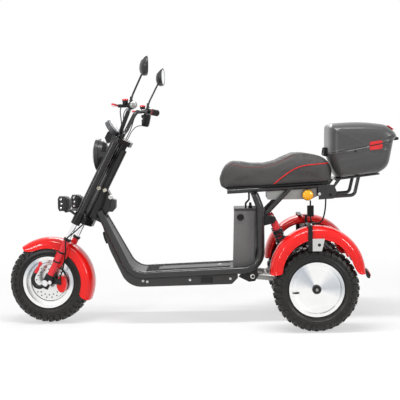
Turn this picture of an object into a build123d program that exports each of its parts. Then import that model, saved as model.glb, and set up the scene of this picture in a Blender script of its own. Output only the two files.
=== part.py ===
"""Electric trike: every rigid piece of the vehicle, built in millimetres.

X points forward, Y to the rider's left and Z up, with the floor at Z = 0.
Pieces on the fork are built with the steering straight and are then turned
to the parked angle about the steering axis before they are written.
"""

import os
from math import asin, cos, pi, radians, sin, tan

from build123d import *

os.makedirs("parts", exist_ok=True)

# Fits and clearances
RUN_FIT = 0.05
SEAT_GAP = 0.4
MOVE_GAP = 6

# Wheels and stance
TYRE_R, TYRE_W = 215, 128
LUG_COUNT, LUG_HIGH, LUG_HALF = 36, 9, 36
RIM_R, BEAD_R, BEAD_HALF = 136, 127, 53
FLANGE_HALF = BEAD_HALF + 7
BARREL_R = RIM_R - 17
FRONT_X, REAR_X, REAR_Y = 815, -563, 296
REAR_Z = TYRE_R

# Steering geometry
RAKE = 27.3
PARK_TURN = 6
FORK_LEAD = 36
LEG_Y = 97
S, C = sin(radians(RAKE)), cos(radians(RAKE))
PARK_TILT = asin(sin(radians(PARK_TURN)) * S)
FRONT_Z = TYRE_R * cos(PARK_TILT) + LUG_HALF * sin(PARK_TILT)
FRONT_HUB = (FRONT_X, 0, FRONT_Z)
STEER_FOOT = (FRONT_X - FORK_LEAD * C, 0, FRONT_Z - FORK_LEAD * S)
STEER_AXIS = Axis(STEER_FOOT, (-S, 0, C))

# Fork, measured up along the leg from the axle
END_LOW, END_TOP = -26, 50
SLIDER_TOP = 257
YOKE_LOW, YOKE_HIGH = 349, 413
YOKE_PLATE, YOKE_PLATE_T = YOKE_LOW + 14, 36
TOP_YOKE, TOP_YOKE_T = 826, 26
HEAD_LOW, HEAD_TOP = YOKE_PLATE + YOKE_PLATE_T + MOVE_GAP, TOP_YOKE - 26
SLIDER_R, STANCHION_R, UPPER_R, SLEEVE_R = 17, 14, 20, 24
STEM_R, HEAD_R, AXLE_R = 15, 25, 8

pieces = {}


def side(y):
    """The side-view plane at a distance to the left, with X to the right and Z up."""
    return Plane.XZ.offset(-y)


def facing(x, y, z):
    """The plane square to X at a point, with Y to the right and Z up."""
    return Plane(origin=(x, y, z), x_dir=(0, 1, 0), z_dir=(1, 0, 0))


def across(t):
    """The plane square to the steering axis, a distance up the fork from the axle."""
    foot = Vector(*STEER_FOOT) + Vector(-S, 0, C) * t
    return Plane(origin=foot, x_dir=(C, 0, S), z_dir=(-S, 0, C))


def up_fork(lead, y, t):
    """The point ahead of the steering axis, to the left, and up the fork."""
    return across(t).origin + Vector(C, 0, S) * lead + Vector(0, y, 0)


def keep(name, part, turned=False):
    """Label a finished piece and turn it to the parked angle if it steers."""
    made = part.rotate(STEER_AXIS, -PARK_TURN) if turned else part
    made.label = name
    pieces[name] = made


def bar(start, end, radius, mode=Mode.ADD):
    """Add a round bar between two points to the part being built."""
    way = Vector(*end) - Vector(*start)
    with BuildSketch(Plane(origin=start, z_dir=way)) as section:
        Circle(radius)
    extrude(section.sketch, amount=way.length, mode=mode)


def cross_bar(x, z, low, high, radius, mode=Mode.ADD):
    """Add a round bar along Y between two side distances."""
    bar((x, low, z), (x, high, z), radius, mode)


def slab(plane, points, amount, both=False, mode=Mode.ADD):
    """Add a plate with a straight-sided outline drawn on a plane."""
    with BuildSketch(plane) as outline:
        with BuildLine():
            Polyline(*points, close=True)
        make_face()
    extrude(outline.sketch, amount=amount, both=both, mode=mode)


def tube_along(points, bends, radius, mode=Mode.ADD):
    """Sweep a round tube along straight runs joined by tangent bends."""
    with BuildLine() as run:
        FilletPolyline(*points, radius=bends)
    with BuildSketch(Plane(origin=run.line @ 0, z_dir=run.line % 0)) as section:
        Circle(radius)
    sweep(section.sketch, path=run.line, mode=mode)


def cord_bends(points, share=0.45):
    """Bend radii that use a share of the shorter run on each side of a corner."""
    bends = []
    for a, b, c in zip(points, points[1:], points[2:]):
        one, two = Vector(*b) - Vector(*a), Vector(*c) - Vector(*b)
        bends.append(share * min(one.length, two.length) / tan(radians(one.get_angle(two) / 2)))
    return bends


def turned_ring(points, centre):
    """Turn a section of side distances and radii about a wheel's axle."""
    with BuildSketch(Plane(origin=centre, x_dir=(0, 1, 0), z_dir=(1, 0, 0))) as section:
        with BuildLine():
            Polyline(*points, close=True)
        make_face()
    revolve(section.sketch, axis=Axis(centre, (0, 1, 0)))


def shifted(points, gap):
    """Side-view points moved square to their run, to the upper side of the tube."""
    moved = []
    for i in range(len(points)):
        lines = []
        for a, b in ((i - 1, i), (i, i + 1)):
            if a < 0 or b >= len(points):
                continue
            p, q = Vector(*points[a]), Vector(*points[b])
            d = (q - p).normalized()
            lines.append((p + Vector(d.Y, -d.X) * gap, d))
        (p, d), (q, e) = lines[0], lines[-1]
        if len(lines) == 1:
            run = Vector(*points[i]) - Vector(*points[max(i - 1, 0)])
            spot = p + d * run.length
        else:
            turn = d.X * e.Y - d.Y * e.X
            spot = p + d * (((q.X - p.X) * e.Y - (q.Y - p.Y) * e.X) / turn)
        moved.append((spot.X, spot.Y))
    return moved


# Tyres: a many-sided carcass with a ring of lugs, one flat straight down
def flats(radius):
    """Corners of a ring of flats, each flat at the radius from the axle."""
    reach = radius / cos(pi / LUG_COUNT)
    turns = [(k + 0.5) * 2 * pi / LUG_COUNT for k in range(LUG_COUNT)]
    return [(reach * sin(a), -reach * cos(a)) for a in turns]


def lug_ring(root, tip, root_half, tip_half):
    """Outline of a toothed ring, with one tooth straight down."""
    tooth = [(-root_half, root), (-tip_half, tip), (tip_half, tip), (root_half, root)]
    turns = [k * 2 * pi / LUG_COUNT for k in range(LUG_COUNT)]
    return [(w * cos(a) + r * sin(a), w * sin(a) - r * cos(a)) for a in turns for w, r in tooth]


CROWN_R = TYRE_R - LUG_HIGH
tyre_rows = [(TYRE_W / 2, RIM_R + 36), (TYRE_W / 2 - 4, TYRE_R - 22), (LUG_HALF + 6, CROWN_R)]
with BuildPart() as tyre:
    for y, radius in tyre_rows + [(-y, r) for y, r in reversed(tyre_rows)]:
        with BuildSketch(side(y)):
            with BuildLine():
                Polyline(*flats(radius), close=True)
            make_face()
    loft(ruled=True)
    slab(side(LUG_HALF), lug_ring(CROWN_R - 3, TYRE_R, 13, 11), 2 * LUG_HALF)
    for start in (TYRE_W, -BEAD_HALF):
        slab(side(start), flats(RIM_R + 6), TYRE_W - BEAD_HALF, mode=Mode.SUBTRACT)
    cross_bar(0, 0, -TYRE_W, TYRE_W, BEAD_R, Mode.SUBTRACT)
for name, hub in (
    ("front_tyre", FRONT_HUB),
    ("rear_tyre_left", (REAR_X, REAR_Y, REAR_Z)),
    ("rear_tyre_right", (REAR_X, -REAR_Y, REAR_Z)),
):
    keep(name, tyre.part.moved(Location(hub)), name == "front_tyre")

# Front wheel: rim barrel, solid dished web and hub
HUB_FAR, HUB_NEAR, HUB_R = -44, 40, 30
with BuildPart() as front_rim:
    turned_ring(
        [
            (HUB_FAR, AXLE_R + RUN_FIT),
            (HUB_FAR, HUB_R - 2),
            (4, HUB_R - 2),
            (12, 2 * HUB_R + 4),
            (12, BARREL_R),
            (-FLANGE_HALF, BARREL_R),
            (-FLANGE_HALF, RIM_R),
            (-BEAD_HALF, RIM_R),
            (-BEAD_HALF, BEAD_R),
            (BEAD_HALF, BEAD_R),
            (BEAD_HALF, RIM_R),
            (FLANGE_HALF, RIM_R),
            (FLANGE_HALF, BARREL_R),
            (26, BARREL_R - 3),
            (26, BARREL_R - 15),
            (20, BARREL_R - 18),
            (20, 2 * HUB_R),
            (24, 2 * HUB_R - 8),
            (30, HUB_R),
            (HUB_NEAR, HUB_R),
            (HUB_NEAR, AXLE_R + RUN_FIT),
        ],
        FRONT_HUB,
    )
keep("front_rim", front_rim.part, True)

# Front brake disc: a flat ring on the hub's left end
DISC_R, DISC_IN, DISC_T = 92, 18, 4
DISC_FACE = HUB_NEAR + DISC_T
with BuildPart() as front_disc:
    disc = [(HUB_NEAR, DISC_IN), (DISC_FACE, DISC_IN), (DISC_FACE, DISC_R), (HUB_NEAR, DISC_R)]
    turned_ring(disc, FRONT_HUB)
keep("front_brake_disc", front_disc.part, True)

# Rear wheels: barrel, smooth domed web and hub with its cap, mirrored for the right
AXLE_END_R = 14
REAR_HUB_IN, REAR_HUB_OUT = -40, 46
CAP_R, CAP_T = 22, 16
rear_rows = [
    (REAR_HUB_IN, AXLE_END_R + RUN_FIT),
    (REAR_HUB_IN, 40),
    (18, 40),
    (26, 80),
    (20, BARREL_R),
    (-FLANGE_HALF, BARREL_R),
    (-FLANGE_HALF, RIM_R),
    (-BEAD_HALF, RIM_R),
    (-BEAD_HALF, BEAD_R),
    (BEAD_HALF, BEAD_R),
    (BEAD_HALF, RIM_R),
    (FLANGE_HALF, RIM_R),
    (FLANGE_HALF, BARREL_R + 3),
    (44, BARREL_R - 1),
    (38, BARREL_R - 19),
    (40, 70),
    (REAR_HUB_OUT, 34),
    (REAR_HUB_OUT, CAP_R),
    (REAR_HUB_OUT + CAP_T / 2, CAP_R),
    (REAR_HUB_OUT + CAP_T, CAP_R - 7),
    (REAR_HUB_OUT + CAP_T, 0),
    (REAR_HUB_OUT, 0),
    (REAR_HUB_OUT, AXLE_END_R + RUN_FIT),
]
for name, sign in (("rear_rim_left", 1), ("rear_rim_right", -1)):
    with BuildPart() as rear_rim:
        turned_ring([(sign * w, r) for w, r in rear_rows], (REAR_X, sign * REAR_Y, REAR_Z))
    keep(name, rear_rim.part)

# Fork legs: sliders, chrome tubes and black upper tubes, a pair each
LEG_SPOTS = [(FORK_LEAD, LEG_Y), (FORK_LEAD, -LEG_Y)]
for name, low, high, radius in (
    ("fork_sliders", END_TOP, SLIDER_TOP, SLIDER_R),
    ("fork_stanchions", SLIDER_TOP, YOKE_LOW, STANCHION_R),
    ("fork_upper_tubes", YOKE_HIGH, TOP_YOKE, UPPER_R),
):
    with BuildPart() as legs:
        with BuildSketch(across(low)):
            with Locations(*LEG_SPOTS):
                Circle(radius)
        extrude(amount=high - low)
    keep(name, legs.part, True)

# Fork ends round the axle, the left one with the caliper's arm
END_HALF = 15
CALIPER_X, CALIPER_Z, CALIPER_OUT, CALIPER_W = FRONT_X - 74, FRONT_Z - 8, HUB_NEAR + 34, 46
with BuildPart() as fork_ends:
    with BuildSketch(across(END_LOW)):
        with Locations(*LEG_SPOTS):
            RectangleRounded(44, 2 * END_HALF, 12)
    extrude(amount=END_TOP - END_LOW)
    arm = [(CALIPER_X, CALIPER_Z + 26), (CALIPER_X, CALIPER_Z - 2)]
    arm = arm + [(FRONT_X - 14, FRONT_Z - 4), (FRONT_X - 22, FRONT_Z + 30)]
    slab(side(LEG_Y - END_HALF + 2), arm, LEG_Y - END_HALF + 2 - CALIPER_OUT - SEAT_GAP / 2)
    cross_bar(FRONT_X, FRONT_Z, -2 * LEG_Y, 2 * LEG_Y, AXLE_R + RUN_FIT, Mode.SUBTRACT)
keep("fork_ends", fork_ends.part, True)

# Front caliper astride the disc
with BuildPart() as front_caliper:
    with BuildSketch(side(CALIPER_OUT)) as face:
        with Locations((CALIPER_X, CALIPER_Z)):
            Ellipse(26, 44)
    extrude(face.sketch, amount=CALIPER_W)
    with BuildSketch(side(DISC_FACE + 2)) as slot:
        with Locations((CALIPER_X + 10, CALIPER_Z)):
            Rectangle(64, 100)
    extrude(slot.sketch, amount=DISC_T + 4, mode=Mode.SUBTRACT)
keep("front_caliper", front_caliper.part, True)

# Front axle with its nuts and spacers
with BuildPart() as front_axle:
    cross_bar(FRONT_X, FRONT_Z, -LEG_Y - 30, LEG_Y + 30, AXLE_R)
    for sign, hub_end in ((1, HUB_NEAR), (-1, -HUB_FAR)):
        nut_in = LEG_Y + END_HALF
        cross_bar(FRONT_X, FRONT_Z, sign * nut_in, sign * (nut_in + 10), 14)
        cross_bar(FRONT_X, FRONT_Z, sign * (hub_end + 8), sign * (LEG_Y - END_HALF), AXLE_R + 5)
keep("front_axle", front_axle.part, True)

# Lower yoke: two sleeves joined by a plate
YOKE_FRONT = FORK_LEAD + 20
yoke_half = [(YOKE_FRONT, LEG_Y), (-6, LEG_Y - 16), (-34, 30)]
with BuildPart() as lower_yoke:
    with BuildSketch(across(YOKE_LOW)):
        with Locations(*LEG_SPOTS):
            Circle(SLEEVE_R)
    extrude(amount=YOKE_HIGH - YOKE_LOW)
    slab(across(YOKE_PLATE), yoke_half + [(x, -y) for x, y in reversed(yoke_half)], YOKE_PLATE_T)
keep("lower_yoke", lower_yoke.part, True)

# Upper yoke: a thick plate over both tubes, in one piece with the stem
top_half = [(FORK_LEAD + 24, LEG_Y + 10), (FORK_LEAD - 20, LEG_Y + 24), (-30, 34)]
with BuildPart() as upper_yoke:
    slab(across(TOP_YOKE), top_half + [(x, -y) for x, y in reversed(top_half)], TOP_YOKE_T)
    fillet(upper_yoke.edges().filter_by(Axis((0, 0, 0), (-S, 0, C))), 10)
    stem_foot = YOKE_PLATE + YOKE_PLATE_T
    bar(up_fork(0, 0, stem_foot), up_fork(0, 0, TOP_YOKE), STEM_R)
keep("upper_yoke", upper_yoke.part, True)

# Handlebar: one bent tube clamped on the upper yoke, as lead, side and rise above the yoke
BAR_R, GRIP_R, GRIP_LONG = 11, 17, 96
YOKE_TOP = TOP_YOKE + TOP_YOKE_T
BAR_SPOTS = [(-16, 342, 192), (18, 222, 179), (43, 96, 153), (39, 62, 29)]
bar_half = [up_fork(lead, y, YOKE_TOP + rise) for lead, y, rise in BAR_SPOTS]
bar_run = bar_half + [Vector(p.X, -p.Y, p.Z) for p in reversed(bar_half)]
GRIP_END, GRIP_IN = bar_half[0], bar_half[1]
with BuildPart() as handlebar:
    tube_along(bar_run, [40, 40, 36, 36, 40, 40], BAR_R)
    with BuildSketch(across(YOKE_TOP)) as clamps:
        with Locations((BAR_SPOTS[3][0], 34), (BAR_SPOTS[3][0], -34)):
            Circle(12)
    extrude(clamps.sketch, amount=BAR_SPOTS[3][2] + BAR_R)
keep("handlebar", handlebar.part, True)


def bar_end(sign):
    """The bar's outer end, its inner bend and the way inward, for one hand."""
    end = Vector(GRIP_END.X, sign * GRIP_END.Y, GRIP_END.Z)
    inner = Vector(GRIP_IN.X, sign * GRIP_IN.Y, GRIP_IN.Z)
    return end, inner, (inner - end).normalized()


# Grips: thick sleeves over the bar ends
with BuildPart() as grips:
    for sign in (1, -1):
        end, inner, way = bar_end(sign)
        bar(end - way * 5, end + way * (GRIP_LONG - 5), GRIP_R)
        bar(end, end + way * (GRIP_LONG + 10), BAR_R + RUN_FIT, Mode.SUBTRACT)
keep("grips", grips.part, True)

# Brake levers on their clamps, as points ahead of and outside the bar's inner bend
CLAMP_R, CLAMP_T, CLAMP_SET, LEVER_AHEAD = 19, 20, 22, 60
LEVER_SPOTS = [(0, 4), (18, 4), (26, 30), (12, 128), (0, 130)]
with BuildPart() as lever_clamps:
    for sign in (1, -1):
        end, inner, way = bar_end(sign)
        ring = inner - way * CLAMP_SET
        bar(ring - way * CLAMP_T / 2, ring + way * CLAMP_T / 2, CLAMP_R)
        bar(ring, Vector(inner.X + LEVER_AHEAD - SEAT_GAP, ring.Y, ring.Z), 9)
        bar(ring - way * CLAMP_T, ring + way * CLAMP_T, BAR_R + RUN_FIT, Mode.SUBTRACT)
keep("lever_clamps", lever_clamps.part, True)
with BuildPart() as brake_levers:
    for sign in (1, -1):
        end, inner, way = bar_end(sign)
        blade = [(inner.X + LEVER_AHEAD + x, inner.Y + sign * y) for x, y in LEVER_SPOTS]
        slab(Plane.XY.offset(inner.Z - 4), blade, 9)
keep("brake_levers", brake_levers.part, True)

# Switch box under the right side of the bar
with BuildPart() as switch_box:
    with BuildSketch(Plane.XY.offset(GRIP_IN.Z - 88)) as base:
        with Locations((GRIP_IN.X - 4, -GRIP_IN.Y + 26)):
            RectangleRounded(46, 34, 8)
    extrude(base.sketch, amount=72.8)
keep("switch_box", switch_box.part, True)

# Mirrors: hand, reach ahead of the bar's bend and inward turn, then heads on straight stems
MIRROR_OUT, MIRROR_UP = 74, 192
MIRRORS = [(1, -90, 14), (-1, -76, 0)]
MIRROR_ROWS = [(-10, 66, 49, 0), (10, 60, 43, -3), (28, 34, 22, -13)]
with BuildPart() as mirrors:
    for sign, reach, toe in MIRRORS:
        end, inner, way = bar_end(sign)
        foot = inner - way * CLAMP_SET + Vector(0, 0, CLAMP_R + SEAT_GAP - 0.1)
        head = inner + Vector(reach, sign * MIRROR_OUT, MIRROR_UP)
        tube_along([foot, foot + Vector(0, 0, 18), head + Vector(8, -sign * 8, -20)], [16], 5)
        ahead = Vector(cos(radians(toe)), sign * sin(radians(toe)), 0)
        across_head = Vector(-ahead.Y, ahead.X, 0)
        sections = []
        for deep, wide, tall, drop in MIRROR_ROWS:
            with BuildSketch(Plane(origin=head + ahead * deep, x_dir=across_head, z_dir=ahead)) as row:
                with Locations((0, drop)):
                    Ellipse(wide, tall)
            sections.append(row.sketch.face())
        loft(sections, ruled=True)
        deep, wide, tall, drop = MIRROR_ROWS[0]
        with BuildSketch(Plane(origin=head + ahead * deep, x_dir=across_head, z_dir=ahead)) as glass:
            Ellipse(wide - 4, tall - 4)
        extrude(glass.sketch, amount=2, mode=Mode.SUBTRACT)
keep("mirrors", mirrors.part, True)

# Headlight: a bowl with a bezel and a lens, facing forward between the upper tubes
LAMP_R, LAMP_DEEP, BEZEL_DEEP, BEZEL_W = 84, 37, 20, 14
lamp_spot = up_fork(93, 0, TOP_YOKE - 103)
LAMP_RIM, LAMP_Z = lamp_spot.X, lamp_spot.Z
LAMP_BACK, LAMP_FACE = LAMP_RIM - LAMP_DEEP, LAMP_RIM + BEZEL_DEEP
LAMP_AXIS = Axis((0, 0, LAMP_Z), (1, 0, 0))
EAR_FOOT = LAMP_R - 22
EAR_ROWS = [(-50, -16), (-6, -12), (-6, 12), (-82, 16)]


def lamp_turned(rows):
    """Turn a section of places along X and radii about the lamp's axis."""
    with BuildSketch(Plane.XZ) as section:
        with BuildLine():
            Polyline(*[(x, LAMP_Z + r) for x, r in rows], close=True)
        make_face()
    revolve(section.sketch, axis=LAMP_AXIS)


with BuildPart() as headlight_shell:
    bowl = [(LAMP_BACK, 0), (LAMP_BACK, 46), (LAMP_BACK + 5, 60), (LAMP_BACK + 16, 71)]
    lamp_turned(bowl + [(LAMP_RIM, LAMP_R - 6), (LAMP_RIM, 0)])
    for sign in (1, -1):
        ear = [(LAMP_RIM + x, LAMP_Z + z) for x, z in EAR_ROWS]
        slab(side(sign * EAR_FOOT), ear, -sign * (LEG_Y - UPPER_R + 3 - EAR_FOOT))
    for y in (LEG_Y, -LEG_Y):
        leg_low, leg_high = up_fork(FORK_LEAD, y, YOKE_HIGH), up_fork(FORK_LEAD, y, TOP_YOKE)
        bar(leg_low, leg_high, UPPER_R + SEAT_GAP, Mode.SUBTRACT)
keep("headlight_shell", headlight_shell.part, True)
with BuildPart() as headlight_bezel:
    ring = [(LAMP_RIM, LAMP_R - BEZEL_W), (LAMP_RIM, LAMP_R), (LAMP_FACE, LAMP_R)]
    lamp_turned(ring + [(LAMP_FACE + 4, LAMP_R - 10), (LAMP_FACE, LAMP_R - BEZEL_W)])
keep("headlight_bezel", headlight_bezel.part, True)
LENS_R = LAMP_R - BEZEL_W - SEAT_GAP
with BuildPart() as headlight_lens:
    glass = [(LAMP_RIM + 8, 0), (LAMP_RIM + 8, LENS_R), (LAMP_FACE, LENS_R)]
    dome = [(LAMP_FACE + 7, 0.55 * LENS_R), (LAMP_FACE + 11, 0.15 * LENS_R), (LAMP_FACE + 11, 0)]
    lamp_turned(glass + dome)
keep("headlight_lens", headlight_lens.part, True)

# Instrument: a round cup on the upper yoke whose face leans back to the rider
POD_R, POD_T, POD_LEAN = 50, 34, 33.5
POD_FACE = up_fork(88, 0, YOKE_TOP + 38)
POD_WAY = Vector(-cos(radians(POD_LEAN)), 0, sin(radians(POD_LEAN)))
pod_plane = Plane(origin=POD_FACE, x_dir=(0, 1, 0), z_dir=POD_WAY)
with BuildPart() as instrument:
    bar(POD_FACE - POD_WAY * POD_T, POD_FACE, POD_R)
    fillet(instrument.edges().group_by(Axis(POD_FACE, POD_WAY))[0], 8)
    bar(POD_FACE - POD_WAY * 4, POD_FACE, POD_R - 6, Mode.SUBTRACT)
    slab(across(YOKE_TOP), [(-200, -200), (200, -200), (200, 200), (-200, 200)], -200, mode=Mode.SUBTRACT)
keep("instrument", instrument.part, True)

# Extra lamps: a pair of chamfered work lamps on a bar ahead of the lower yoke
AUX_Y, AUX_SIZE = 134, 76
AUX_ROWS = [(36, AUX_SIZE - 14), (27, AUX_SIZE), (4, AUX_SIZE), (-22, AUX_SIZE - 30)]
AUX = up_fork(117, 0, YOKE_HIGH + 16)
aux_bar_z = AUX.Z - AUX_SIZE / 2 - 1
with BuildPart() as aux_lamps:
    for sign in (1, -1):
        sections = []
        for ahead, size in AUX_ROWS:
            with BuildSketch(facing(AUX.X + ahead, sign * AUX_Y, AUX.Z)) as row:
                RectangleRounded(size, size, 0.2 * size)
            sections.append(row.sketch.face())
        loft(sections, ruled=True)
        bar((AUX.X, sign * 60, aux_bar_z), up_fork(YOKE_FRONT + 1.2, sign * 60, YOKE_LOW + 38), 7)
    cross_bar(AUX.X, aux_bar_z, -AUX_Y - 10, AUX_Y + 10, 8)
keep("aux_lamps", aux_lamps.part, True)

# Front fender: a channel turned about the axle, with pads to the sliders
FENDER_GAP, FENDER_T = 22, 3
FENDER_R, FENDER_HALF = TYRE_R + FENDER_GAP, TYRE_W / 2 + 12
FENDER_SKIRT = FENDER_R - 55
FENDER_AHEAD, FENDER_BEHIND = 36, 114


def channel(outer, near, far, near_skirt, far_skirt, wall):
    """Points of a channel section: side distance and radius, open to the wheel."""
    edge = outer - 12
    return [
        (far, far_skirt),
        (far, edge),
        (far + 12, outer),
        (near - 12, outer),
        (near, edge),
        (near, near_skirt),
        (near - wall, near_skirt),
        (near - wall, edge - wall / 2),
        (near - 12 - wall / 2, outer - wall),
        (far + 12 + wall / 2, outer - wall),
        (far + wall, edge - wall / 2),
        (far + wall, far_skirt),
    ]


front_lean = radians(FENDER_AHEAD)
fender_plane = Plane(origin=FRONT_HUB, x_dir=(0, 1, 0), z_dir=(cos(front_lean), 0, -sin(front_lean)))
with BuildPart() as front_fender:
    with BuildSketch(fender_plane) as section:
        with BuildLine():
            rows = channel(FENDER_R, FENDER_HALF, -FENDER_HALF, FENDER_SKIRT, FENDER_SKIRT, FENDER_T)
            Polyline(*rows, close=True)
        make_face()
    revolve(section.sketch, axis=Axis(FRONT_HUB, (0, -1, 0)), revolution_arc=FENDER_AHEAD + FENDER_BEHIND)
    with BuildSketch(across(FENDER_SKIRT + 10)) as pads:
        for sign in (1, -1):
            with Locations((FORK_LEAD, sign * (FENDER_HALF + LEG_Y - SLIDER_R - 1) / 2)):
                Rectangle(24, LEG_Y - SLIDER_R - FENDER_HALF)
    extrude(pads.sketch, amount=24)
keep("front_fender", front_fender.part, True)

# Brake hose: from the caliper up past the left leg to the lower yoke
HOSE_R, HOSE_OUT = 3.5, LEG_Y + 25
hose_run = [
    (CALIPER_X, CALIPER_OUT + SEAT_GAP, CALIPER_Z + 30),
    (CALIPER_X, LEG_Y, CALIPER_Z + 34),
    (FRONT_X - 99, HOSE_OUT - 4, FRONT_Z + 84),
    (FRONT_X - 115, HOSE_OUT, FRONT_Z + 174),
    (FRONT_X - 113, HOSE_OUT, FRONT_Z + 233),
    tuple(up_fork(18, HOSE_OUT - 2, YOKE_LOW - 42)),
    tuple(up_fork(8, LEG_Y, YOKE_LOW - 8)),
    tuple(up_fork(2, LEG_Y - 24, YOKE_PLATE - 2)),
]
with BuildPart() as brake_hose:
    tube_along(hose_run, cord_bends(hose_run), HOSE_R)
keep("brake_hose", brake_hose.part, True)

# Frame side tubes: from the neck down the leg, along the deck and up to the seat
TUBE_R, DECK_Y, NECK_Y = 19, 120, 52
tube_head = up_fork(-37, NECK_Y, HEAD_LOW + 51)
TUBE_RUN = [(tube_head.X, tube_head.Z), (372, 260), (-300, 284), (-300, 600), (-272, 672)]
TUBE_BENDS = [110, 95, 80]
TUBE_SIDES = [NECK_Y, DECK_Y, DECK_Y, DECK_Y, DECK_Y]
tube_runs = {}
for name, sign in (("frame_tube_left", 1), ("frame_tube_right", -1)):
    tube_runs[name] = [(x, sign * y, z) for (x, z), y in zip(TUBE_RUN, TUBE_SIDES)]
    with BuildPart() as frame_tube:
        tube_along(tube_runs[name], TUBE_BENDS, TUBE_R)
    keep(name, frame_tube.part)


def clear_tubes():
    """Cut the side tubes, with their clearance, out of the part being built."""
    for run in tube_runs.values():
        tube_along(run, TUBE_BENDS, TUBE_R + SEAT_GAP, Mode.SUBTRACT)


# Neck: the head tube and the web that carries it back to the side tubes
NECK_HALF = NECK_Y - TUBE_R - SEAT_GAP
NECK_SPOTS = [(0, 0), (0, 190), (-60, 144), (-78, 70), (-73, -34)]
neck_points = [up_fork(lead, 0, HEAD_LOW + rise) for lead, rise in NECK_SPOTS]
with BuildPart() as neck:
    slab(Plane.XZ, [(p.X, p.Z) for p in neck_points], NECK_HALF, both=True)
    bar(up_fork(0, 0, HEAD_LOW), up_fork(0, 0, HEAD_TOP), HEAD_R)
    bar(up_fork(0, 0, HEAD_LOW - 40), up_fork(0, 0, HEAD_TOP + 40), STEM_R + RUN_FIT, Mode.SUBTRACT)
    with BuildSketch(across(HEAD_LOW)) as below:
        Rectangle(200, 200)
    extrude(below.sketch, amount=-60, mode=Mode.SUBTRACT)
keep("neck", neck.part)

# Lock box on the back of the neck
lock_low, lock_top = neck_points[3], neck_points[2]
lock_way = (lock_top - lock_low).normalized()
with BuildPart() as lock_box:
    base = [lock_low, lock_low + lock_way * 70]
    back = [base[1] + Vector(-23, 0, -8), lock_low + Vector(-38, 0, 18), lock_low + Vector(-20, 0, -2)]
    slab(Plane.XZ, [(p.X - SEAT_GAP, p.Z) for p in base + back], 26, both=True)
keep("lock_box", lock_box.part)


# A wedge that narrows the leg panels toward the neck, seen from the front
def leg_taper(reach):
    """Keep what lies between the side tubes, a distance from their centres."""
    top, foot = TUBE_RUN[0][1], TUBE_RUN[1][1]
    half = [(DECK_Y + reach, 0), (DECK_Y + reach, foot), (NECK_Y + reach, top), (NECK_Y + reach, top + 170)]
    slab(Plane.YZ.offset(-400), half + [(-y, z) for y, z in reversed(half)], 1100, mode=Mode.INTERSECT)


# Footboard: one bent sheet between the tubes, from the leg to the seat upright
BOARD_T, BOARD_SINK = 8, 4
BOARD_TOP = TUBE_R - BOARD_SINK
BOARD_REAR, BELLY_REAR = -276, -179
leg_run = Vector(*TUBE_RUN[1]) - Vector(*TUBE_RUN[0])
leg_start = Vector(*TUBE_RUN[0]) + leg_run * 0.13
deck_slope = (TUBE_RUN[2][1] - TUBE_RUN[1][1]) / (TUBE_RUN[2][0] - TUBE_RUN[1][0])


def deck_z(x):
    """Height of the side tubes' centre line along the deck."""
    return TUBE_RUN[1][1] + (x - TUBE_RUN[1][0]) * deck_slope


def board_line(rear, gap):
    """The deck's bent run up to its rear end, a distance above the tube centres."""
    run = [(leg_start.X, leg_start.Y), TUBE_RUN[1], (rear, deck_z(rear))]
    return FilletPolyline(*shifted(run, gap), radius=TUBE_BENDS[0] - gap)


with BuildPart() as footboard:
    with BuildSketch(Plane.XZ) as sheet:
        with BuildLine():
            top = board_line(BOARD_REAR, BOARD_TOP)
            under = board_line(BOARD_REAR, BOARD_TOP - BOARD_T)
            Line(top @ 0, under @ 0)
            Line(top @ 1, under @ 1)
        make_face()
    extrude(sheet.sketch, amount=DECK_Y, both=True)
    leg_taper(-TUBE_R - SEAT_GAP)
    clear_tubes()
keep("footboard", footboard.part)

# Belly pan: the shell under the board, from the leg's front to the rear of the deck
BELLY_DEEP = 60
belly_top = Vector(TUBE_RUN[0][0] - 13, TUBE_RUN[0][1] - 61)
belly_knee = Vector(TUBE_RUN[1][0] + 116, TUBE_RUN[1][1] + 135)
belly_foot = Vector(TUBE_RUN[1][0] + 18, TUBE_RUN[1][1] - BELLY_DEEP - 2)
belly_tail = Vector(BELLY_REAR + 31, deck_z(BELLY_REAR) - BELLY_DEEP - 12)
belly_end = Vector(BELLY_REAR, deck_z(BELLY_REAR) - 40)
belly_line = [belly_top, belly_knee, belly_foot, belly_tail, belly_end]
with BuildPart() as belly_pan:
    with BuildSketch(Plane.XZ) as shell:
        with BuildLine():
            inner = board_line(BELLY_REAR, BOARD_TOP - BOARD_T)
            outer = FilletPolyline(*belly_line, radius=[240, 110, 20])
            Line(inner @ 0, outer @ 0)
            Line(inner @ 1, outer @ 1)
        make_face()
    extrude(shell.sketch, amount=DECK_Y, both=True)
    leg_taper(-4)
    clear_tubes()
keep("belly_pan", belly_pan.part)

# Horn on the front of the leg
HORN_R, HORN_T = 33, 18
belly_way = (belly_knee - belly_top).normalized()
horn_seat = belly_top + belly_way * 81
horn_way = Vector(-belly_way.Y, 0, belly_way.X)
with BuildPart() as horn:
    horn_foot = Vector(horn_seat.X, 0, horn_seat.Y) + horn_way * SEAT_GAP / 2
    bar(horn_foot, horn_foot + horn_way * HORN_T, HORN_R)
keep("horn", horn.part)

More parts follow.
